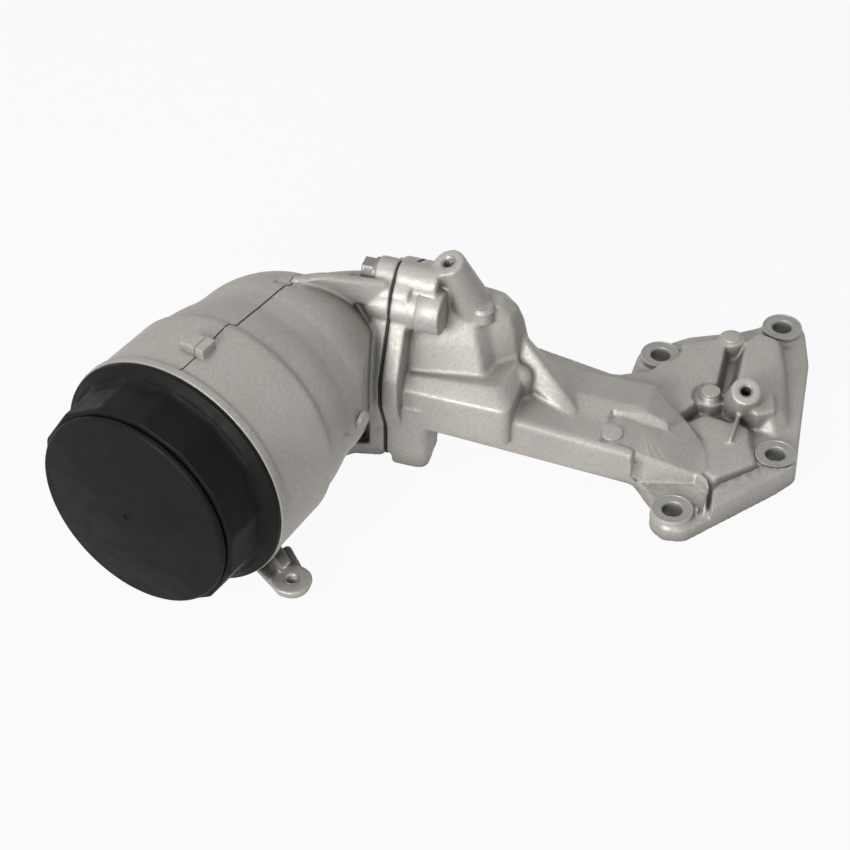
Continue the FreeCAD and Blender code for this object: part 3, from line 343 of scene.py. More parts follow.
MACHINED = machined_metal("machined_aluminium", (0.38, 0.37, 0.35), 0.5)
STEEL = machined_metal("zinc_steel", (0.27, 0.27, 0.26), 0.55)
SPRING = machined_metal("spring_steel", (0.32, 0.32, 0.33), 0.32)
CAP_BLACK = satin_plastic("black_plastic", (0.0085, 0.0085, 0.008), 0.5, 900, 0.09)
RUBBER = satin_plastic("black_rubber", (0.014, 0.014, 0.014), 0.62, 1400)
GASKET = satin_plastic("gasket_fibre", (0.02, 0.02, 0.02), 0.7, 2200)
ELEMENT = satin_plastic("element_plastic", (0.09, 0.09, 0.095), 0.4)
PAPER = satin_plastic("filter_paper", (0.78, 0.66, 0.42), 0.85, 2600)

# %% [markdown]
# ## The castings
#
# A casting has no sharp edge: the die has radii everywhere, and shot blasting rounds them more.
# The solids have true edges, so each casting is remeshed as one skin of small quads and then
# relaxed. Relaxing moves each point towards the mean of its neighbours, which rounds edges and
# fills corners but hardly moves flat walls. Faces that are machined after casting stay flat:
# points near such a plane slide within it and never leave it.

# %% Cast skin
VOXEL = 0.85 * MM
RELAX_ROUNDS = 6


def mesh_arrays(mesh):
    """Points and edges of a mesh as arrays."""
    co = np.zeros(len(mesh.vertices) * 3)
    mesh.vertices.foreach_get("co", co)
    edges = np.zeros(len(mesh.edges) * 2, np.int64)
    mesh.edges.foreach_get("vertices", edges)
    return co.reshape(-1, 3), edges.reshape(-1, 2)


def relaxed(co, edges, planes, rounds):
    """Each round moves a point half way to the mean of its neighbours, without the share of the
    step that would take it off a machined plane. A plane is (normal, offset, reach)."""
    count = np.bincount(edges.ravel(), minlength=len(co))[:, None]
    held = [(np.array(n), np.abs(co @ np.array(n) - offset) < reach) for n, offset, reach in planes]
    for _ in range(rounds):
        total = np.stack([
            np.bincount(edges[:, 0], co[edges[:, 1], k], len(co))
            + np.bincount(edges[:, 1], co[edges[:, 0], k], len(co))
            for k in range(3)
        ], 1)
        step = (total / np.maximum(count, 1) - co) * 0.5
        for normal, close in held:
            step -= np.outer((step @ normal) * close, normal)
        co = co + step
    return co


def baked(obj, modifier, **settings):
    """Apply one modifier to an object's mesh and return the new mesh."""
    mod = obj.modifiers.new(modifier, modifier)
    for key, value in settings.items():
        setattr(mod, key, value)
    graph = bpy.context.evaluated_depsgraph_get()
    mesh = bpy.data.meshes.new_from_object(obj.evaluated_get(graph))
    obj.modifiers.clear()
    obj.data = mesh
    return mesh


def cast_skin(name, node, planes, triangles, press):
    """Copy of a solid's mesh, remeshed, relaxed beside its machined planes, pressed in where a
    crisp piece will be laid, and thinned."""
    mesh = NODES[node].data.copy()
    mesh.name = name
    obj = finish_mesh(name, mesh, False, 1e-6)
    mesh = baked(obj, "REMESH", mode="VOXEL", voxel_size=VOXEL, adaptivity=0.0)
    co, edges = mesh_arrays(mesh)
    co = relaxed(co / MM, edges, planes, RELAX_ROUNDS)
    co = press(co) * MM
    mesh.vertices.foreach_set("co", co.ravel())
    mesh.update()
    before = len(mesh.polygons) * 2
    if before > triangles:
        mesh = baked(obj, "DECIMATE", ratio=triangles / before)
    mesh.name = name
    mesh.polygons.foreach_set("use_smooth", np.full(len(mesh.polygons), True))
    print(name, "skin of", before, "triangles thinned to about", triangles)
    return obj


JOINT_X = -165.0
RIM_T = 1.2
TO_JOINT = (1.0, 0.0, 0.0)
REACH = 0.45
bracket_planes = [(TO_JOINT, JOINT_X + 0.5, REACH), ((0.0, 0.0, 1.0), 0.0, REACH)]
bowl_planes = [(TO_JOINT, JOINT_X - 0.5, REACH), (ALONG, BOWL_AT @ ALONG + RIM_T, REACH)]

# %% [markdown]
# ## Where the die halves meet
#
# The two halves of the die leave a seam along the top of the bowl. It jogs sideways at the
# shoulder. Under the seam the skin is pressed in by a channel, so that the groove which is laid
# over it later can be as narrow and sharp as the real one. The same function runs the top rib
# down into the elbow and clears the wall where the lug will stand.

# %% Seam path
SEAM = np.array([
    (3.3, 5.4), (3.2, 20.0), (0.7, 51.0), (3.4, 53.0), (3.2, 58.4), (2.8, 64.5), (1.9, 71.2), (1.1, 77.7),
    (0.75, 83.7), (0.6, 90.0), (0.5, 96.0), (0.3, 101.0), (1.3, 105.5),
])
RIB_FADE_FROM, RIB_FADE_RUN = -195.0, 17.0
RIB_FOOT_Z, RIB_BLEND, RIB_DROP = 117.6, 3.5, 4.6
WALL_STATIONS, WALL_RADII = (6.9, 46.0), (64.3, 63.25)
CHANNEL_REACH, CHANNEL_DEPTH = 1.9, 0.9


def seam_side(t):
    """Side position of the seam at station t."""
    return np.interp(t, SEAM[:, 1], SEAM[:, 0])


def press_bowl(co):
    """Run the end of the top rib down into the elbow, trim the top of the wall to its plain
    radius, then lower the points that lie close to the seam."""
    x, y, z = co.T
    rib_end = (x > -220) & (y > -98) & (y < -80) & (z > RIB_FOOT_Z)
    fade = np.clip((RIB_FADE_FROM - x) / RIB_FADE_RUN, 0, 1) * np.clip((z - RIB_FOOT_Z) / RIB_BLEND, 0, 1)
    co[:, 2] -= rib_end * RIB_DROP * fade
    local = co - BOWL_AT
    t, side, up = local @ ALONG, local @ SIDE, local @ UP
    r = np.hypot(side, up)
    wall = np.interp(t, WALL_STATIONS, WALL_RADII)
    trim = (up > 55) & (t > 7.2) & (t < 45.5) & (r > wall)
    scale = np.where(trim, wall / r, 1.0)
    side, up = side * scale, up * scale
    off = np.abs(side - seam_side(t))
    on_top = (up > 46) & (t > 5.0) & (t < 107)
    up = up - CHANNEL_DEPTH * on_top * np.clip(CHANNEL_REACH - off, 0, 1)
    return BOWL_AT + np.outer(t, ALONG) + np.outer(side, SIDE) + np.outer(up, UP)


# %% [markdown]
# ## The field of the mounting plate
#
# In front of the duct the plate has one even field that slopes from the arm down to the bolts,
# with a low bank behind it, a steep wall down to the lower pad and a tall wall along its outer
# edge. Slanted blocks could be cut away and added, but they would leave sharp slivers where they
# meet the rounded skin. Here the points of the skin are moved up or down instead: each keeps its
# place in plan, and its height is held under or drawn up to a surface given by a formula.

# %% Plate field
PLATE_HOLES = {"a": (-43.6, 33.8), "b": (15.0, 78.3), "c": (35.1, -26.5), "d": (-6.5, -85.5)}
PAD_R, HOLE_R, PAD_TOP = 11.0, 5.5, 11.6
PRESSED_PAD_Z = 10.4
FIELD = (
    (-52, -43), (-39, -40.5), (-21.7, -36.7), (-20, -32.2), (-10.8, -12.5), (-2, -3), (12, -12), (30, -35),
    (12, -64), (7.3, -62.7), (-0.9, -57.2), (-38.7, -62.8), (-52, -66),
)
FIELD_X, FIELD_Z, BANK_SLOPE = (-46, -2), (28.9, 13.6), 2.0
EDGE_X, EDGE_Y = (-38.7, -0.9, 7.3, 9.0), (-62.8, -57.2, -62.7, -80.0)
WALL_SLOPE, LEDGE_Z = 2.3, 8.2
BLIND_X, BLIND_Y, BLIND_FOOT_Z, BLIND_TALL = -8.0, 3.0, 15.0, 4.6
RIM = ((12.0, -60.0), (29.0, -40.5), (33, -37.5), (52, -30), (55, -50), (20, -95), (11.5, -80), (9.5, -66))


def depth_in(co, corners):
    """How far each point lies inside the outline, seen from above: least distance to an edge,
    positive where an odd number of edges is crossed by a line to the right."""
    x, y = co[:, 0], co[:, 1]
    least, odd = np.full(len(co), 1e9), np.zeros(len(co), bool)
    for (ax, ay), (bx, by) in zip(corners, corners[1:] + corners[:1]):
        along_edge = (x - ax) * (bx - ax) + (y - ay) * (by - ay)
        share = np.clip(along_edge / ((bx - ax) ** 2 + (by - ay) ** 2), 0, 1)
        least = np.minimum(least, np.hypot(x - ax - share * (bx - ax), y - ay - share * (by - ay)))
        if ay != by:
            odd ^= ((ay > y) != (by > y)) & (x < ax + (y - ay) * (bx - ax) / (by - ay))
    return np.where(odd, least, -least)


def press_field(co, from_lower_pad):
    """Hold the points under a slope of x inside the field, under a bank that grows with the
    distance outside it, and under a wall that falls from the front edge to the ledge."""
    x, y = co[:, 0], co[:, 1]
    field = np.interp(x, FIELD_X, FIELD_Z)
    bank = field + BANK_SLOPE * np.clip(-depth_in(co, FIELD), 0, None)
    front = np.interp(x, EDGE_X, EDGE_Y) - y
    in_front = (x > -34) & (x < 9) & (front > 0)
    wall = np.where(in_front, np.maximum(field - WALL_SLOPE * front, LEDGE_Z), np.inf)
    right_end = np.where(y < -45, 14, 2)
    area = (x > -52) & (x < right_end) & (y < -1) & (co[:, 2] > 5) & (from_lower_pad >= PAD_R + 2.5)
    co[area, 2] = np.minimum(co[area, 2], np.minimum(bank, wall)[area])


def press_bracket(co):
    """Lower the tops of the bolt pads, form the field, slim the post of the middle blind pad, and
    draw the plate's front rim up to the field's level outside the right pad."""
    x, y = co[:, 0], co[:, 1]
    away = {key: np.hypot(x - hole_x, y - hole_y) for key, (hole_x, hole_y) in PLATE_HOLES.items()}
    for distance in away.values():
        near = (distance < PAD_R + 0.6) & (co[:, 2] > PRESSED_PAD_Z)
        co[near, 2] = PRESSED_PAD_Z + 0.3 * (co[near, 2] - PRESSED_PAD_Z)
    press_field(co, away["d"])
    slim = np.hypot(x - BLIND_X, y - BLIND_Y)
    around = (slim < 10) & (co[:, 2] > 14) & (x < 0)
    post = BLIND_FOOT_Z + BLIND_TALL * np.clip((6.4 - slim[around]) / 1.4, 0, 1)
    co[around, 2] = np.minimum(co[around, 2], post)
    inside = np.clip(depth_in(co, RIM) / 1.2, 0, 1)
    off_pad = np.clip((away["c"] - PAD_R - 0.8) / 1.5, 0, 1)
    rise = np.clip(FIELD_Z[1] - co[:, 2], 0, None) * np.clip((co[:, 2] - 4.0) / 3.2, 0, 1)
    co[:, 2] += rise * inside * off_pad
    return co


# %% [markdown]
# ### Laying the two skins
#
# Each skin now stands for its casting, whose solid is hidden. Thinning comes last, so that the
# relaxing and pressing work on even little quads and the piece still stays light.

# %% Lay the skins
SKIN_TRIANGLES = 190000
bracket_skin = cast_skin("bracket_skin", "bracket_casting", bracket_planes, SKIN_TRIANGLES, press_bracket)
dress(bracket_skin, "housing", "cast_aluminium", CAST, "bracket_casting")
bowl_skin = cast_skin("bowl_skin", "bowl_casting", bowl_planes, SKIN_TRIANGLES, press_bowl)
dress(bowl_skin, "housing", "cast_aluminium", CAST, "bowl_casting")

# %% [markdown]
# ## Machined faces
#
# After casting, the tops of the bolt pads are milled flat and their holes are drilled. The soft
# skin could not show such crisp circles, so each pad is a turned piece laid into it: a foot, a
# thin rim round the milled face, and the chamfered wall of the hole. Only the rings of the face
# and the chamfer get the machined finish.

# %% Plate pads
PAD_STEPS = 96


def bolt_pad(name, x, y):
    """Turned pad: flared foot, wall, thin rim round the milled face, chamfered hole."""
    profile = [
        (PAD_R + 0.75, 6.6), (PAD_R + 0.6, 7.6), (PAD_R + 0.4, 8.7), (PAD_R + 0.22, 9.8),
        (PAD_R + 0.12, 11.2), (PAD_R - 0.1, 11.75), (PAD_R - 0.5, 11.95), (PAD_R - 0.8, 11.9),
        (PAD_R - 0.95, PAD_TOP + 0.06), (HOLE_R + 0.6, PAD_TOP + 0.04), (HOLE_R - 0.05, PAD_TOP - 0.6),
        (HOLE_R - 0.06, 0.15), (HOLE_R + 0.9, 0.4), (HOLE_R + 1.2, 7.0),
    ]
    pad = turned(name, profile, upright_point(x, y), PAD_STEPS)
    dress(pad, "housing", "cast_aluminium", CAST)
    pad.data.materials.append(MACHINED)
    ring = np.arange(len(pad.data.polygons)) // PAD_STEPS
    flat = (ring >= 8) & (ring <= 10)
    pad.data.polygons.foreach_set("material_index", flat.astype(np.int32))


for key, (x, y) in PLATE_HOLES.items():
    bolt_pad("plate_pad_" + key, x, y)


# %% [markdown]
# ## Tapped holes
#
# Three bosses are faced, drilled and tapped. A real thread is one groove on a helix. A mesh of a
# helix with a runout is awkward, so the wall of the hole is a grid of angle and depth whose
# radius is a triangle wave: moving the wave with the angle makes it climb as a thread does.

# %% Threaded holes
def threaded_bore(name, place, r_core, r_face, depth, pitch):
    """Chamfer and helical groove: radius r_core plus a triangle wave of the station less the
    angle's share of the pitch, from the mouth down to -depth, where a blind end closes it."""
    angle = np.linspace(0, 2 * math.pi, 48, endpoint=False)[None, :]
    t = np.linspace(-0.9, -depth, int(depth / pitch * 8))[:, None]
    wave = np.abs(((t / pitch - angle / (2 * math.pi)) % 1.0) - 0.5) * 2
    wall = r_core + 0.55 * pitch * wave * np.clip((-0.9 - t) / pitch, 0, 1)
    mouth_r = np.array([r_face, r_face - 0.15, r_core + 0.9, r_core])[:, None] + 0 * angle
    mouth_t = np.array([-0.3, 0.06, 0.06, -0.8])[:, None] + 0 * angle
    end_r = np.array([r_core * 0.6, 0.0])[:, None] + 0 * angle
    end_t = np.array([-depth - 0.3, -depth - 1.2])[:, None] + 0 * angle
    r = np.concatenate([mouth_r, wall, end_r])
    stations = np.concatenate([mouth_t, t + 0 * angle, end_t])
    bore = surface(name, place(r, angle, stations))
    bore.data.flip_normals()
    return dress(bore, "housing", "machined_aluminium", MACHINED)


HOOD_FACE, HOOD_ROOT = (-140.2, -55.8, 120.0), (-129.0, -45.0, 82.0)
POST_FACE, POST_ROOT = (11.9, -2.5, 30.0), (9.0, 10.0, 4.0)
hood_place = tilted_point(HOOD_FACE, HOOD_ROOT)
post_place = tilted_point(POST_FACE, POST_ROOT)
threaded_bore("hood_thread", hood_place, 2.9, 4.2, 14.0, 1.25)
threaded_bore("plate_thread", post_place, 2.9, 4.1, 12.0, 1.25)
LUG_AT = BOWL_AT - 53.0 * UP + 61.5 * SIDE + 13.0 * ALONG
LUG_TOP = 14.0
lug_place = tilted_point((LUG_AT[0], LUG_AT[1], LUG_TOP), (LUG_AT[0], LUG_AT[1], 0.0))
threaded_bore("lug_thread", lug_place, 2.8, 3.9, 6.5, 1.0)


# %% [markdown]
# ## Crisp castings over the soft skin
#
# Where the die has inserts or ejector pins the casting keeps a sharp little edge, which relaxing
# has rounded away. These pads and bosses are turned profiles laid over the skin, each with a
# flared foot that dives into it, so that no gap shows.

# %% Pads and bosses
def raised_disc(name, face, root, r, tall, edge=0.45):
    """Disc of radius r about the line root to face: flared foot, wall, rounded edge, flat top."""
    profile = [(r + 0.9, -tall - 0.5), (r + 0.35, -tall + 0.35), (r + 0.08, -tall * 0.5), (r, -edge)]
    for a in np.radians((30, 60, 90)):
        profile.append((r - edge + edge * math.cos(a), -edge + edge * math.sin(a)))
    profile += [(r * 0.5, 0.03), (0.0, 0.05)]
    disc = turned(name, profile, tilted_point(face, root), 64, closed=False)
    return dress(disc, "housing", "cast_aluminium", CAST)


def in_bowl(up, side, along):
    """World point, in millimetres, of a point given in the bowl frame."""
    return BOWL_AT + up * UP + side * SIDE + along * ALONG


raised_disc("arm_pad", (-48.55, -56.7, 29.75), (-49.0, -56.5, 24.6), 6.45, 1.6)
raised_disc("hood_pad", (-122.5, -51.0, 92.35), (-122.5, -51.0, 84.0), 5.7, 1.5)
raised_disc("blind_pad_rear", (-8.5, 53.5, 18.2), (-8.5, 53.5, 4.0), 5.0, 1.2)
raised_disc("blind_pad_mid", (BLIND_X, BLIND_Y, 20.15), (BLIND_X, BLIND_Y, 4.0), 5.2, BLIND_TALL)
raised_disc("gallery_boss_end", (-138.3, -67.0, 95.5), (-160.0, -67.0, 95.5), 12.4, 12.0, 1.1)
for number, t in enumerate((66, 86)):
    base = 51.5 if t > 80 else 53.0
    raised_disc(f"bowl_pad_{number}", in_bowl(-1.0, base + 6.15, t), in_bowl(-1.0, base, t), 4.5, 1.2)


# %% [markdown]
# ## The collar of the bowl
#
# The mouth of the bowl is turned after casting, which leaves a band with a crisp back edge. It is
# a short profile turned about the axis of the bowl.

# %% Collar
collar_profile = [
    (64.0, 1.5), (64.5, RIM_T - 0.02), (65.2, RIM_T), (65.42, 1.5), (65.45, 5.1), (65.3, 5.5),
    (64.9, 5.62), (64.2, 5.66), (63.4, 5.7),
]
dress(turned("bowl_collar", collar_profile, bowl_point, 240), "housing", "cast_aluminium", CAST)


# %% [markdown]
# ## The seam of the bowl
#
# The seam is a strip laid over the pressed channel: a thin cross-section of two lips with a
# groove between them, carried along the seam path. How high the skin lies beside the path is
# measured by rays sent down on it, because the skin has no formula of its own.

# %% Seam strip
SEAM_WALL_R = 62.0
skin_tree = BVHTree.FromObject(bowl_skin, bpy.context.evaluated_depsgraph_get())


def skin_height(side, t):
    """Height over the bowl axis where a ray sent down at (side, t) meets the skin."""
    start = in_bowl(90.0, side, t) * MM
    hit = skin_tree.ray_cast(start.tolist(), (0, 0, -1))[0]
    return (np.array(hit) / MM - BOWL_AT) @ UP


def seam_strip(name, t0, t1, width, steps):
    """Cross-section of lips and groove (index v) carried from t0 to t1 along the seam (index u).
    Between the two measured edges the height is a straight line plus the bow of the wall."""
    reach = 2.6
    half = width / 2
    left_lip = [-reach, -reach + 0.3, -half - 0.25, -half, -half + 0.05]
    right_lip = [half - 0.05, half, half + 0.3, reach - 0.3, reach]
    side = np.array(left_lip + right_lip)
    lift = np.array([-0.25, 0.02, 0.20, 0.05, -0.75, -0.75, -0.08, 0.0, 0.0, -0.25])
    t = np.linspace(t0, t1, steps)
    middle = seam_side(t)
    left = np.array([skin_height(s - reach, station) for s, station in zip(middle, t)])
    right_edge = np.array([skin_height(s + reach, station) for s, station in zip(middle, t)])
    share = ((side + reach) / (2 * reach))[None, :]
    bow = (reach ** 2 - side ** 2)[None, :] / (2 * SEAM_WALL_R)
    up = left[:, None] * (1 - share) + right_edge[:, None] * share + bow + lift[None, :]
    s = middle[:, None] + side[None, :]
    pts = BOWL_AT + up[..., None] * UP + s[..., None] * SIDE + (t[:, None] + 0 * s)[..., None] * ALONG
    return dress(surface(name, pts * MM, wrap_v=False), "housing", "cast_aluminium", CAST)


seam_strip("seam_front", 5.8, 19.4, 0.55, 20)
seam_strip("seam_middle", 30.4, 51.0, 0.8, 30)
seam_strip("seam_jog", 51.0, 53.0, 0.9, 10)
seam_strip("seam_back", 53.0, 105.0, 1.0, 70)


# %% [markdown]
# ## The lug on the seam
#
# A little stepped lug stands on the seam near the mouth. Its blocks have upright walls and small
# radii, so each is an outline with rounded corners, stacked at a few heights and insets: out at
# the foot, straight up, and in over the top edge.

# %% Lug
def rounded_outline(corners, radius, steps=5):
    """Closed outline with each corner replaced by a quadratic arc that starts `radius` away."""
    p = np.array(corners, float)
    before, after = np.roll(p, 1, 0) - p, np.roll(p, -1, 0) - p
    a = p + before / np.linalg.norm(before, axis=1)[:, None] * radius
    b = p + after / np.linalg.norm(after, axis=1)[:, None] * radius
    s = np.linspace(0, 1, steps + 1)[None, :, None]
    return ((1 - s) ** 2 * a[:, None] + 2 * s * (1 - s) * p[:, None] + s ** 2 * b[:, None]).reshape(-1, 2)


def bowl_block(name, corners, radius, levels):
    """Outline (index v) moved inwards by each level's inset and set at its height (index u)."""
    line = rounded_outline(corners, radius)
    run = np.roll(line, -1, 0) - np.roll(line, 1, 0)
    inward = np.stack([-run[:, 1], run[:, 0]], 1) / np.linalg.norm(run, axis=1)[:, None]
    centre = line.mean(0)
    rings = [line + inward * inset for inset, _ in levels] + [centre + 0 * line]
    heights = [up for _, up in levels] + [levels[-1][1]]
    pts = np.stack([
        BOWL_AT + up * UP + ring[:, :1] * SIDE + ring[:, 1:] * ALONG for ring, up in zip(rings, heights)
    ])
    return dress(surface(name, pts * MM), "housing", "cast_aluminium", CAST)


def block_levels(foot, top):
    """Flared foot, wall and a rounded upper edge."""
    return [(-0.9, foot - 1.2), (-0.35, foot - 0.2), (-0.05, foot + 1.2), (0.0, top - 0.4), (0.1, top - 0.12),
            (0.35, top), (0.6, top + 0.01)]


LUG_ROUND = 0.8
LUG_BLOCKS = {
    "lug_left": ([(-4.9, 20.2), (1.3, 20.2), (1.3, 30.2), (-4.9, 30.2)], 63.4, 68.1),
    "lug_right": ([(1.7, 19.6), (6.9, 19.6), (6.9, 30.6), (1.7, 30.6)], 63.4, 68.5),
    "lug_step": ([(-8.4, 20.6), (-1.2, 20.6), (-1.2, 25.6), (-8.4, 25.6)], 63.0, 67.3),
}
for name, (corners, foot, top) in LUG_BLOCKS.items():
    bowl_block(name, corners, LUG_ROUND, block_levels(foot, top))

# %% [markdown]
# ## The screw cap
#
# One moulding in black plastic: a domed disc, fourteen flats for a cap wrench, a flange that
# closes on the rim of the bowl, and a skirt with a thread and a groove for its ring seal. It is
# one closed surface of two parameters: the angle round the axis, and a walk from the middle of
# the disc over the outside and back up the inside. Each section along the walk is a circle or
# the fourteen-sided figure, and the thread is a ridge added where station and angle agree.

# %% Cap
CAP_STEPS = 392
FLATS = 14
FIRST_CORNER = math.radians(30.6)
CORNER_R = 58.2
cap_angle = np.linspace(0, 2 * math.pi, CAP_STEPS, endpoint=False)


def flats_ring(flat, power=420.0):
    """Rounded polygon: flat-to-centre distance over the p-norm of the cosines to its flats."""
    middles = FIRST_CORNER + (np.arange(FLATS)[:, None] + 0.5) * 2 * math.pi / FLATS
    c = np.maximum(np.cos(cap_angle[None, :] - middles), 0)
    return flat / np.sum(c ** power, 0) ** (1 / power)


FLAT_R = CORNER_R * math.cos(math.pi / FLATS)
DISC_R, DISC_T, DOME_RISE = 55.1, -32.4, 5.0
sections = []


def section(t, r=None, flat=None):
    """One ring of the walk: circle of radius r, or the flats at distance `flat`."""
    ring = np.full(CAP_STEPS, float(r)) if flat is None else flats_ring(flat)
    sections.append((ring, np.full(CAP_STEPS, t)))


front = DISC_T - 2.7
dome_r = 51.8
crown_r = (DISC_R ** 2 + DOME_RISE ** 2) / (2 * DOME_RISE)
edge_drop = crown_r - math.sqrt(crown_r ** 2 - dome_r ** 2)
for r in np.concatenate([[0.0, 0.5, 1.0, 1.4, 1.7, 2.1, 2.8, 3.6], np.linspace(5, dome_r, 24)]):
    lift = crown_r - math.sqrt(crown_r ** 2 - r ** 2) - edge_drop
    gate = 1.1 * min(1.0, max(0.0, (1.75 - r) / 0.5))
    moat = 0.22 * math.exp(-((r - 4.4) / 1.5) ** 2)
    section(front + lift + gate + moat, r)
for a in np.radians(np.linspace(20, 160, 9)):
    section(DISC_T - 0.35 - 2.45 * math.cos(a), DISC_R - 2.6 + 2.6 * math.sin(a))
section(-30.6, 53.6)
section(-30.5, 54.4)
section(-30.35, flat=FLAT_R - 0.9)
section(-30.0, flat=FLAT_R - 0.35)
section(-29.4, flat=FLAT_R - 0.05)
for t in np.linspace(-28, -9, 7):
    section(t, flat=FLAT_R + (t + 29) * 0.015)
for a in np.linspace(0, math.pi / 2, 6):
    section(-8.0 + 3.6 * math.sin(a), flat=FLAT_R + 0.3 + 2.2 * (1 - math.cos(a)))
for t, r in ((-4.1, 60.6), (-3.3, 61.6), (-2.4, 62.6), (-1.9, 63.6), (-1.5, 64.3), (-1.0, 64.7),
             (0.4, 64.8), (0.9, 64.4), (1.0, 63.9), (1.0, 59.6)):
    section(t, r)
THREAD_PITCH, RIDGE_H, SKIRT_R = 6.0, 1.45, 59.3
for t in np.linspace(1.6, 25.6, 100):
    phase = (t / THREAD_PITCH - cap_angle / (2 * math.pi)) % 1.0
    ridge = np.clip(1.9 - 7.5 * np.abs(phase - 0.5), 0, 1)
    fade = min(1.0, max(0.0, (t - 2.2) / 3.0), max(0.0, (25.0 - t) / 3.0))
    sections.append((SKIRT_R + RIDGE_H * ridge * fade, np.full(CAP_STEPS, t)))
SKIRT_END_AND_INSIDE = (
    (59.3, 26.4), (59.35, 28.6), (58.9, 29.0), (56.4, 29.0), (56.4, 33.0), (58.9, 33.0), (59.35, 33.4),
    (59.35, 36.6), (58.0, 38.0), (53.2, 38.0), (52.4, 37.4), (52.4, 4.0), (51.0, -2.0), (46.4, -6.0),
    (46.0, -8.0), (46.0, -27.0), (45.0, -29.6), (43.0, -30.0), (36.0, -30.2), (12.0, -30.2), (0.0, -30.2),
)
for r, t in SKIRT_END_AND_INSIDE:
    section(t, r)
ring_r = np.stack([s[0] for s in sections])
ring_t = np.stack([s[1] for s in sections])
cap = surface("cap_moulding", bowl_point(ring_r, cap_angle[None, :], ring_t))
dress(cap, "cap", "black_plastic", CAP_BLACK, "screw_cap")

# %% [markdown]
# ## The thread in the bowl
#
# The bowl carries the other half of the thread. It is a ridge that follows a helix: a small
# trapezoid carried along the angle, whose station grows by one pitch per turn. Its height fades
# at both ends, as a cut thread runs out.

# %% Bowl thread
def bowl_ridge():
    """Trapezoid section (4 corners) carried along turns of a helix on the inner wall."""
    turns, steps = 3.6, 420
    a = np.linspace(0, turns * 2 * math.pi, steps)
    fade = np.clip(np.minimum(a, a[-1] - a) / 1.2, 0.02, 1)
    corner_r = np.array([0.6, -0.2, -1.5, -1.5, -0.2, 0.6])
    corner_t = np.array([-1.5, -1.3, -0.55, 0.55, 1.3, 1.5])
    r = 61.3 + corner_r[None, :] * fade[:, None]
    t = 3.2 + THREAD_PITCH * (a / (2 * math.pi))[:, None] + corner_t[None, :] * fade[:, None]
    return bowl_point(r, a[:, None], t)


dress(surface("bowl_thread", bowl_ridge()), "housing", "machined_aluminium", MACHINED)

# %% [markdown]
# ## The valve springs
#
# The small inner pieces show only when the cap is off. A spring is a round wire carried along a
# helix. How long each one is, is measured on the solid that it stands for.

# %% Springs
def coil(name, place, r_mean, wire, t0, t1, turns):
    """Wire circle (angle v) along a helix (share u of its length); the pitch is a little wider
    near both ends than in the middle."""
    u = np.linspace(0, 1, int(turns * 28))
    v = np.linspace(0, 2 * math.pi, 10, endpoint=False)
    rise = u + 0.035 * np.sin(2 * math.pi * u)
    t = t0 + wire + (t1 - t0 - 2 * wire) * rise
    r = r_mean + wire * np.cos(v)[None, :] * np.ones_like(u)[:, None]
    tt = t[:, None] + wire * np.sin(v)[None, :]
    return surface(name, place(r, (u * turns * 2 * math.pi)[:, None], tt))


def node_span(node, axis_point, axis):
    """Lowest and highest station of a node along an axis, in millimetres."""
    co, _ = mesh_arrays(NODES[node].data)
    t = (co / MM - axis_point) @ axis
    return t.min(), t.max()


lo, hi = node_span("bypass_spring", BOWL_AT, ALONG)
bypass_coil = coil("bypass_coil", bowl_point, 5.6, 0.7, lo, hi, 6)
dress(bypass_coil, "housing", "spring_steel", SPRING, "bypass_spring")
lo, hi = node_span("return_spring", np.zeros(3), UP)
return_coil = coil("return_coil", upright_point(-30.0, -20.0), 3.2, 0.4, lo, hi, 5)
dress(return_coil, "housing", "spring_steel", SPRING, "return_spring")


# %% [markdown]
# ## The seal of the cap
#
# A ring seal is a circle turned about the axis. The solid has an eight-sided section, which would
# show as facets on black rubber, so this one has sixteen sides and smooth shading.

# %% Seals
def seal(name, place, r_mean, r_wire, t):
    """Circle of radius r_wire about (r_mean, t), turned about the axis."""
    v = np.linspace(0, 2 * math.pi, 16, endpoint=False)
    return turned(name, np.stack([r_mean + r_wire * np.cos(v), t + r_wire * np.sin(v)], 1), place, 96)


dress(seal("cap_ring", bowl_point, 58.03, 1.6, 31.0), "seal_ring", "black_rubber", RUBBER, "cap_seal")


# %% [markdown]
# ## The paper of the element
#
# The paper is folded into a star. Seen along the axis it is a wave of the radius with the angle,
# almost a zigzag but with rounded folds. The outline is offset both ways for the thickness of the
# paper and carried along the element.

# %% Pleats
def pleats():
    """Star outline offset both ways by half the paper's thickness, carried along the element."""
    folds, per = 44, 14
    a = np.linspace(0, 2 * math.pi, folds * per, endpoint=False)
    wave = np.arcsin(0.97 * np.cos(folds * a)) / math.asin(0.97)
    r = 31.6 + 10.2 * wave
    line = np.stack([r * np.cos(a), r * np.sin(a)], 1)
    along = np.roll(line, -1, 0) - np.roll(line, 1, 0)
    normal = np.stack([along[:, 1], -along[:, 0]], 1) / np.linalg.norm(along, axis=1)[:, None]
    rings = []
    for half, t in ((0.3, -21.4), (0.3, 89.9), (-0.3, 89.9), (-0.3, -21.4)):
        p = line + normal * half
        rings.append(bowl_point(np.hypot(p[:, 0], p[:, 1]), np.arctan2(p[:, 1], p[:, 0]), t))
    return np.stack(rings)


dress(surface("paper_star", pleats(), wrap_u=True), "cartridge", "filter_paper", PAPER, "pleated_media")

# %% [markdown]
# ## Nodes that keep their solids
#
# The rest are simple turned or flat parts whose solids are right as they are. Making them again
# would only risk a worse fit, so they get their finishes and nothing else.

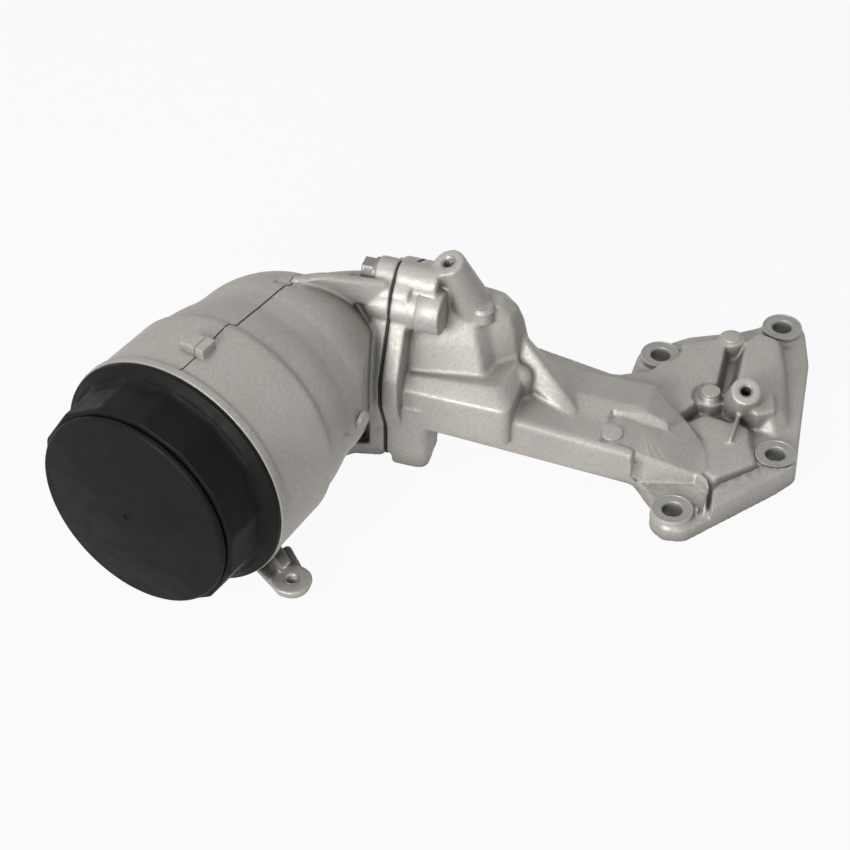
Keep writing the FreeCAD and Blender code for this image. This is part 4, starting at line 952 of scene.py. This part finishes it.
# %% Finishes for the kept nodes
KEPT = {
    "joint_gasket": GASKET, "joint_bolts": STEEL, "locating_dowels": STEEL,
    "element_top_disc": ELEMENT, "element_bottom_disc": ELEMENT, "element_grommets": RUBBER,
    "centre_tube": ELEMENT, "drain_seal": RUBBER, "standpipe": MACHINED, "bypass_seat": MACHINED,
    "bypass_poppet": ELEMENT, "bypass_retainer": MACHINED, "return_cage": ELEMENT,
    "return_disc": ELEMENT, "port_seals": RUBBER,
}
for name, material in KEPT.items():
    for slot in NODES[name].material_slots:
        slot.material = material
print("kept nodes finished:", len(KEPT))

# %% [markdown]
# ## Floor and light
#
# The photograph is a plain studio shot on white. The floor is grey to the light but mostly glows
# white to the camera and in reflections, so that a faint shadow stays and the lamps can be low.

# %% Stage
def seen_rays(tree):
    """1 for rays that see the background: from the camera, off gloss or through glass."""
    path = tree.nodes.new("ShaderNodeLightPath")
    seen = path.outputs["Is Camera Ray"]
    for key in ("Is Glossy Ray", "Is Transmission Ray"):
        either = tree.nodes.new("ShaderNodeMath")
        either.operation = "MAXIMUM"
        tree.links.new(seen, either.inputs[0])
        tree.links.new(path.outputs[key], either.inputs[1])
        seen = either.outputs[0]
    return seen


FLOOR_GLOW = 0.94


def floor_material():
    """Dull grey, mixed with a white glow for the rays that see the background."""
    mat, tree, shader = new_material("floor_white", (0.55, 0.55, 0.55), 0.0, 0.9)
    glow = tree.nodes.new("ShaderNodeEmission")
    glow.inputs["Strength"].default_value = 1.0
    share = tree.nodes.new("ShaderNodeMath")
    share.operation = "MULTIPLY"
    share.inputs[1].default_value = FLOOR_GLOW
    mix = tree.nodes.new("ShaderNodeMixShader")
    tree.links.new(seen_rays(tree), share.inputs[0])
    tree.links.new(share.outputs[0], mix.inputs[0])
    tree.links.new(shader.outputs[0], mix.inputs[1])
    tree.links.new(glow.outputs[0], mix.inputs[2])
    tree.links.new(mix.outputs[0], tree.nodes["Material Output"].inputs["Surface"])
    return mat


FLOOR_HALF, FLOOR_Z = 4.0, -0.0006
corners = [(x * FLOOR_HALF, y * FLOOR_HALF, FLOOR_Z) for x, y in ((-1, -1), (1, -1), (1, 1), (-1, 1))]
floor_mesh = bpy.data.meshes.new("floor")
floor_mesh.from_pydata(corners, [], [(0, 1, 2, 3)])
floor_mesh.materials.append(floor_material())
floor = bpy.data.objects.new("floor", floor_mesh)
bpy.context.scene.collection.objects.link(floor)


# %% [markdown]
# ## World and lamps
#
# The photograph's light comes from in front, a little from the left and above: faces that look at
# the camera are bright and those that look right are darker. A key lamp of 0.6 metres keeps the
# edges of the shade fairly clear, and a weak wide lamp overhead opens the tops. The world shows
# white to the camera but lights the object only a little.

# %% World and lamps
world = bpy.data.worlds.new("studio")
bpy.context.scene.world = world
world.use_nodes = True
wt = world.node_tree
wt.nodes["Background"].inputs["Strength"].default_value = 0.06
white = wt.nodes.new("ShaderNodeBackground")
white.inputs["Color"].default_value = (1, 1, 1, 1)
mix = wt.nodes.new("ShaderNodeMixShader")
wt.nodes["Background"].inputs["Color"].default_value = (1, 1, 1, 1)
wt.links.new(seen_rays(wt), mix.inputs[0])
wt.links.new(wt.nodes["Background"].outputs[0], mix.inputs[1])
wt.links.new(white.outputs[0], mix.inputs[2])
wt.links.new(mix.outputs[0], wt.nodes["World Output"].inputs["Surface"])

LAMPS_AIM_AT = np.array([-0.13, -0.06, 0.04])


def lamp(name, direction, distance, size, watts):
    """Square area lamp at `distance` along a direction given in the camera's plan frame."""
    light = bpy.data.lights.new(name, "AREA")
    light.shape, light.size, light.energy = "SQUARE", size, watts
    d = turn @ np.array(direction, float)
    d = d / np.linalg.norm(d)
    side = np.cross([0.0, 0.0, 1.0], d)
    side /= np.linalg.norm(side)
    place = np.eye(4)
    place[:3, :3] = np.stack([side, np.cross(d, side), d], 1)
    place[:3, 3] = LAMPS_AIM_AT + d * distance
    obj = bpy.data.objects.new(name, light)
    obj.matrix_world = Matrix(place.tolist())
    bpy.context.scene.collection.objects.link(obj)
    return obj


lamp("key_lamp", (-0.45, -0.78, 0.42), 1.5, 0.6, 22.5)
lamp("top_lamp", (-0.35, 0.1, 1.0), 1.6, 1.2, 4.0)
bpy.context.scene.view_settings.view_transform = "Standard"
